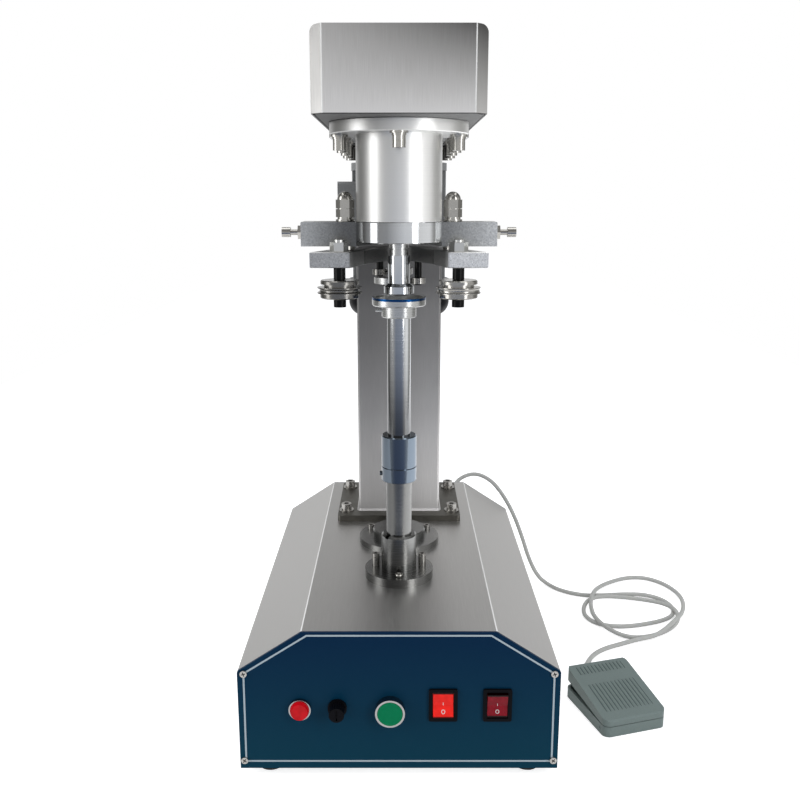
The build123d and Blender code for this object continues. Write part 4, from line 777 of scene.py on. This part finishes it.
def ribbon(corners, half_width, proud, sink):
    """Closed ribbon on the panel: rows go round the corners, columns go round its small section."""
    section = [(-half_width, sink), (-half_width, -proud), (half_width, -proud), (half_width, sink)]
    rings = []
    for distance, depth in section:
        flat = mitred(corners, distance)
        y = np.full(len(flat), panel_front + depth)
        rings.append(np.stack([seam_x + flat[:, 0], y, base_bottom + flat[:, 1]], axis=1))
    return np.stack(rings, axis=1)


pale_line = moulded("pale_line_print", (0.42, 0.5, 0.55), 0.5, 900.0, 0.000002, 0.06)
outline = grid_piece("panel_line", ribbon(line_corners, line_half_width, line_proud, line_sink),
                     "machine", pale_line, wrap_u=True, wrap_v=True, flip=True)
outline.data.shade_flat()
print("panel line corners:", len(line_corners))

# %% [markdown]
# ## Marks on the rockers
# Each rocker carries a plain I near its middle and an O on its lower half, both printed white. A text
# object would bring a font's shapes along, so the I is a short bar and the O a small ring, laid on the two
# faces of the rocker, which leans by eight degrees about its pivot.

# %% Print the marks
rocker_tilt = 8.0
rocker_height, rocker_half_height = 0.0713, 0.0135
rocker_middle_rise, rocker_end_rise = 0.0022, 0.0042
rocker_pivot_depth = 0.001
mark_sink, mark_rise = 0.00002, 0.3
mark_white = moulded("mark_white", (0.75, 0.72, 0.7), 0.4, 900.0, 0.000002, 0.04)


def on_rocker(node, tilt, flat):
    """Points (across, up, above) on a rocker's shallow V face, carried into the frame by its lean.

    The face stands out by its middle rise, plus the rest of the end rise times |up| / half height.
    """
    low, high = span(node)
    lean = math.radians(tilt)
    across, up = flat[..., 0], flat[..., 1]
    fold = (rocker_end_rise - rocker_middle_rise) * np.abs(up) / rocker_half_height
    out = flat[..., 2] + rocker_middle_rise + fold
    y = panel_front + rocker_pivot_depth - out * math.cos(lean) + up * math.sin(lean)
    z = base_bottom + rocker_height + up * math.cos(lean) + out * math.sin(lean)
    return np.stack([(low[0] + high[0]) / 2 + across, y, z], axis=-1)


def ring_mark(radius_x, radius_z, thick, centre):
    """Flat ring: an ellipse as path, a small half round as section. Angle round by angle of section."""
    turns, laps = np.linspace(0, 2 * np.pi, 40, endpoint=False), np.linspace(0, np.pi, 7)
    turn, lap = np.meshgrid(turns, laps, indexing="ij")
    across = (radius_x + thick * np.cos(lap)) * np.cos(turn)
    up = centre + (radius_z + thick * np.cos(lap)) * np.sin(turn)
    return np.stack([across, up, mark_rise * thick * np.sin(lap) - mark_sink], axis=-1)


def bar_mark(height, thick, centre):
    """Short upright bar: a straight path with a small half round as section, drawn in at its ends."""
    along, lap = np.meshgrid(np.linspace(-1, 1, 13), np.linspace(0, np.pi, 7), indexing="ij")
    width = thick * np.sqrt(np.clip(1.0 - along**8, 0, None))
    above = mark_rise * width * np.sin(lap) - mark_sink
    return np.stack([width * np.cos(lap), centre + along * height / 2, above], axis=-1)


zero_mark = ring_mark(radius_x=0.0016, radius_z=0.0019, thick=0.00035, centre=-0.0068)
one_mark = bar_mark(height=0.0034, thick=0.0003, centre=0.001)
for node, tilt in (("power_rocker", rocker_tilt), ("auto_rocker", -rocker_tilt)):
    grid_piece(node + "_o", on_rocker(node, tilt, zero_mark), node, mark_white, wrap_u=True)
    grid_piece(node + "_i", on_rocker(node, tilt, one_mark), node, mark_white)
print("points on an O and an I:", zero_mark[..., 0].size, one_mark[..., 0].size)

# %% [markdown]
# ## Ribs on the pedal
# The treadle has two groups of ribs that run from front to rear and give the sole a grip, with a bare band
# between them. A bump in the material wouldn't show at the edge, so each rib is a long low half round
# that fades out at both ends. Each groove between the ribs gets a thin darker strip of painted shade.

# %% Mould the ribs
treadle_front_height, treadle_rear_height = 0.020, 0.037
tread_start, tread_end = -pedal_half_length + 0.002, pedal_half_length - 0.002
rib_field_half_width = 0.0285
groove_count = 13
ridge_sink = 0.00005


def on_treadle(across, along, above):
    """Point on the sloping top of the treadle: along runs from its front to its rear edge."""
    share = (along - tread_start) / (tread_end - tread_start)
    height = treadle_front_height + share * (treadle_rear_height - treadle_front_height) + above
    flat = pedal_middle + across[..., None] * pedal_right + along[..., None] * pedal_back
    return np.concatenate([flat, height[..., None]], axis=-1)


def long_ridges(centres, half_width, start, end, rise):
    """Ridges as blocks of a grid: rows run along each ridge and columns over its low half round.

    Across a ridge the section is (w cos t, rise sin t) with t from 0 to pi, and both fade at the ends.
    """
    run, lap = np.meshgrid(np.linspace(-1, 1, 17), np.linspace(0, np.pi, 7), indexing="ij")
    fade = np.sqrt(np.clip(1.0 - run**8, 0, None))
    along = (start + end) / 2 + run * (end - start) / 2
    return np.stack([
        on_treadle(centre + half_width * fade * np.cos(lap), along, rise * fade * np.sin(lap) - ridge_sink)
        for centre in centres
    ])


def block_piece(name, blocks, body, material):
    """One mesh out of several equal grids."""
    count, rows, columns = blocks.shape[:3]
    k, i, j = np.meshgrid(np.arange(count), np.arange(rows - 1), np.arange(columns - 1), indexing="ij")
    a = (k * rows + i) * columns + j
    faces = np.stack([side.ravel() for side in (a, a + columns, a + columns + 1, a + 1)], axis=1)
    return new_piece(name, blocks, faces, body, material)


grooves = np.linspace(-rib_field_half_width, rib_field_half_width, groove_count)
crowns = (grooves[1:] + grooves[:-1]) / 2
rib_half_width, rib_rise = 0.0016, 0.0006
groove_half_width, groove_rise = 0.00065, 0.00016
for group, start, end in (("rear", 0.027, 0.041), ("front", -0.035, 0.0125)):
    ribs = long_ridges(crowns, rib_half_width, start, end, rib_rise)
    block_piece("pedal_ribs_" + group, ribs, "pedal_treadle", pedal_plastic)
    # Painted shade: a dark strip in each groove.
    strips = long_ridges(grooves, groove_half_width, start, end, groove_rise)
    block_piece("pedal_grooves_" + group, strips, "pedal_treadle", groove_painted_shade)
print("ribs in each group:", len(crowns))

# %% [markdown]
# ## Painted slots in the panel's screws
# Each corner of the panel has a small pan-head screw with a cross slot. The slot isn't cut: two thin dark
# bars on the head are painted shade where it would be, drawn with the same low half round as the marks
# on the rockers.

# %% Paint shade for the cross slots
screw_face = span("base_screws")[0][1]
# Each screw has its reach from the axis, its height above the base's lower edge, and its turn.
upper_screw = (0.1535, 0.105, 0.3)
lower_screw = (0.1555, 0.0092, 0.9)
slot_length, slot_half_width = 0.005, 0.00055


def cross_slot(x, z, turn):
    """Bar of half round section through (x, z) on the screw heads' front, turned in the panel's plane."""
    bar = bar_mark(slot_length, slot_half_width, 0.0)
    across = bar[..., 0] * math.cos(turn) - bar[..., 1] * math.sin(turn)
    up = bar[..., 0] * math.sin(turn) + bar[..., 1] * math.cos(turn)
    return np.stack([x + across, screw_face - bar[..., 2] + mark_sink, z + up], axis=-1)


slots = [
    cross_slot(seam_x + side * reach, base_bottom + height, turn + lean)
    for side in (-1, 1)
    for reach, height, lean in (upper_screw, lower_screw)
    for turn in (0.0, math.pi / 2)
]
# Painted shade: dark bars where the cross slots would be.
block_piece("panel_screw_slot_shade", np.stack(slots), "machine", black_plastic)
print("slot bars:", len(slots))

# %% [markdown]
# ## Small socket screws
# A short socket screw holds the front of the lift guide's flange, and small dark ones hold the cover's
# sides to the head plate. Each head is a closed ring round its hexagonal socket: a profile goes round the
# ring's section, and the inner wall follows a hexagon.


# %% Set the small screws
def socket_head(name, centre, outward, side, radius, height, socket, material):
    """Ring of a screw head about the outward axis: rows go round its section, columns round the axis.

    The hexagon's wall stands at socket / cos(a), where a is the angle from the middle of its nearest flat.
    """
    outward, side = np.array(outward, float), np.array(side, float)
    turn = np.linspace(0, 2 * np.pi, 48, endpoint=False)
    flat = socket / np.cos((turn % (np.pi / 3)) - np.pi / 6)
    full = np.full_like(turn, radius)
    bevel, sunk = 0.12 * radius, -0.0003
    radii = np.stack([flat, flat, full - bevel, full, full])
    rise = np.array([sunk, height, height, height - bevel, sunk])[:, None, None]
    across = np.cos(turn)[:, None] * side + np.sin(turn)[:, None] * np.cross(outward, side)
    ring = np.array(centre) + radii[..., None] * across + rise * outward
    return grid_piece(name, ring, "machine", material, wrap_u=True, wrap_v=True)


guide_height, guide_flange = 0.0504, 0.0095
guide_screw_reach = 0.028
flange_top = span("lift_guide")[1][2] - guide_height + guide_flange
guide_screw_place = (seam_x, seam_y - guide_screw_reach, flange_top)
small_screws = [
    socket_head("guide_front_screw", guide_screw_place, (0, 0, 1), (1, 0, 0),
                radius=0.0042, height=0.0036, socket=0.0019, material=bright),
]
cover_screw_rise, cover_screws_behind = 0.005, (0.085, 0.3)
for count, behind in enumerate(cover_screws_behind):
    y, z = cover_low[1] + behind, cover_low[2] + cover_screw_rise
    for side_name, x, outward in (("left", cover_low[0], (-1, 0, 0)), ("right", cover_high[0], (1, 0, 0))):
        name = f"cover_screw_{side_name}_{count}"
        small_screws.append(socket_head(name, (x, y, z), outward, (0, 1, 0), radius=0.0035,
                                        height=0.0022, socket=0.0015, material=black_plastic))
print("small screws:", len(small_screws))

# %% [markdown]
# ## Stage and light
# The photograph is a cut-out on white. A white floor and a white world give the pale ground, and large
# soft lamps make the bright bands in the steel. The floor adds a glow where the camera or a mirror sees
# it, so it stays white there and still keeps a soft shadow.


# %% White floor that keeps the shadow
def seen_directly(tree):
    """Two sockets: one is 1 for rays from the camera, a mirror or glass, the other from the camera alone."""
    rays = tree.nodes.new("ShaderNodeLightPath").outputs
    seen = calculate(tree, "MAXIMUM", rays["Is Camera Ray"], rays["Is Glossy Ray"])
    return calculate(tree, "MAXIMUM", seen, rays["Is Transmission Ray"]), rays["Is Camera Ray"]


floor_finish, floor_tree, floor_shader = new_finish("studio_floor", (0.72, 0.72, 0.72), 0.9)
floor_glow = floor_tree.nodes.new("ShaderNodeEmission")
floor_seen = seen_directly(floor_tree)[0]
glow_share = 0.74
feed(floor_tree, floor_glow.inputs["Strength"], calculate(floor_tree, "MULTIPLY", floor_seen, glow_share))
floor_sum = floor_tree.nodes.new("ShaderNodeAddShader")
floor_tree.links.new(floor_shader.outputs["BSDF"], floor_sum.inputs[0])
floor_tree.links.new(floor_glow.outputs["Emission"], floor_sum.inputs[1])
floor_tree.links.new(floor_sum.outputs["Shader"], floor_tree.nodes["Material Output"].inputs["Surface"])
floor_half_width = 1.3
floor_front, floor_back = seam_y - 0.55, 8.0
floor_points = np.array([
    [x, y, 0.0] for x in (-floor_half_width, floor_half_width) for y in (floor_front, floor_back)
])
floor_mesh = bpy.data.meshes.new("studio_floor")
floor_mesh.from_pydata(floor_points.tolist(), [], [(0, 2, 3, 1)])
floor_mesh.materials.append(floor_finish)
studio_floor = bpy.data.objects.new("studio_floor", floor_mesh)
scene.collection.objects.link(studio_floor)
print("floor from", round(floor_front, 3), "to", floor_back)

# %% [markdown]
# ## The room that the steel reflects
# Polished steel shows the room, so the room needs light and dark parts. Straight behind the machine it is
# white, then comes a dark ring, and the sides are pale. Towards the photographer a pale band at the height
# of the eye lies between a bluish dark below and a grey above. Ramps on the ray's direction give all that
# without a picture of a room.

# %% World with light and dark parts
world = bpy.data.worlds.new("studio")
scene.world = world
world.use_nodes = True
world_tree = world.node_tree
even = world_tree.nodes["Background"]
even.inputs["Color"].default_value = (0.93, 0.95, 1.0, 1)
even.inputs["Strength"].default_value = 0.5
ray_direction = split(world_tree, world_tree.nodes.new("ShaderNodeTexCoord").outputs["Generated"])


def direction_ramp(axis, stops):
    """Ramp over one part of the ray's direction, from stops of (part from -1 to 1, triple or grey)."""
    places = [((part + 1) / 2, shade) for part, shade in stops]
    return ramp(world_tree, rescale(world_tree, ray_direction[axis], -1.0, 1.0), places, "EASE")


front_by_height = direction_ramp("Z", [
    (-1.0, (0.3, 0.33, 0.4)), (-0.35, (0.22, 0.27, 0.4)), (-0.16, (0.36, 0.41, 0.52)),
    (-0.03, (0.85, 0.86, 0.88)), (0.06, (1.0, 0.99, 0.97)), (0.16, (0.5, 0.49, 0.48)), (0.4, 0.3), (1.0, 0.3),
])
around = direction_ramp("Y", [
    (-1.0, 0.8), (-0.35, 0.9), (-0.05, 0.9), (0.3, (0.36, 0.36, 0.35)), (0.65, (0.34, 0.34, 0.33)),
    (0.88, 0.95), (1.0, 1.0),
])
overhead = direction_ramp("Z", [(-1.0, 1.0), (0.15, 1.0), (0.5, 0.55), (1.0, 0.5)])
left_to_right = direction_ramp("X", [(-1.0, 0.85), (-0.45, 1.0), (0.0, 0.95), (0.42, 0.72), (1.0, 1.0)])
to_the_side = direction_ramp("Y", [(-0.9, 0.0), (-0.5, 1.0)])
room_colour = mix(world_tree, around, overhead, 1.0, "MULTIPLY")
room_colour = mix(world_tree, room_colour, left_to_right, 1.0, "MULTIPLY")
room = world_tree.nodes.new("ShaderNodeBackground")
feed(world_tree, room.inputs["Color"], mix(world_tree, front_by_height, room_colour, to_the_side))
print("nodes in the room:", len(world_tree.nodes))

# %% [markdown]
# ## Who sees which world
# The camera sees pure white, mirrors see the room, and matt surfaces are lit by the even grey. Two mixes
# of the three backgrounds, driven by the kind of ray, give each its own.

# %% Pick the world by the kind of ray
white = world_tree.nodes.new("ShaderNodeBackground")
white.inputs["Color"].default_value = (1, 1, 1, 1)
mirror_pick = world_tree.nodes.new("ShaderNodeMixShader")
camera_pick = world_tree.nodes.new("ShaderNodeMixShader")
world_seen, from_camera = seen_directly(world_tree)
for pick, factor, first, second in (
    (mirror_pick, world_seen, even.outputs["Background"], room.outputs["Background"]),
    (camera_pick, from_camera, mirror_pick.outputs["Shader"], white.outputs["Background"]),
):
    world_tree.links.new(factor, pick.inputs["Fac"])
    world_tree.links.new(first, pick.inputs[1])
    world_tree.links.new(second, pick.inputs[2])
world_tree.links.new(camera_pick.outputs["Shader"], world_tree.nodes["World Output"].inputs["Surface"])
print("nodes in the world:", len(world_tree.nodes))

# %% [markdown]
# ## Lamps
# Three large soft boxes stand left, right and above. They light the matt surfaces and give their shadows
# soft edges, and in turned steel they show as bright bands.


# %% Soft boxes
def soft_lamp(name, place, aim, size, power):
    """Rectangular area lamp at a place, turned to face a point."""
    data = bpy.data.lights.new(name, "AREA")
    data.shape = "RECTANGLE"
    data.size, data.size_y = size
    data.energy = power
    lamp = bpy.data.objects.new(name, data)
    lamp.location = place
    lamp.rotation_euler = (Vector(aim) - Vector(place)).to_track_quat("-Z", "Y").to_euler()
    scene.collection.objects.link(lamp)
    return lamp


middle = (seam_x, seam_y, 0.35)
soft_lamp("left_softbox", (-2.1, -0.9, 1.0), middle, (0.9, 1.8), 20)
soft_lamp("right_softbox", (1.3, -1.6, 1.0), middle, (0.5, 1.8), 14)
soft_lamp("top_softbox", (0.0, 0.2, 2.4), (0, 0, 0), (2.2, 1.6), 22)
print("lamps:", len(bpy.data.lights))
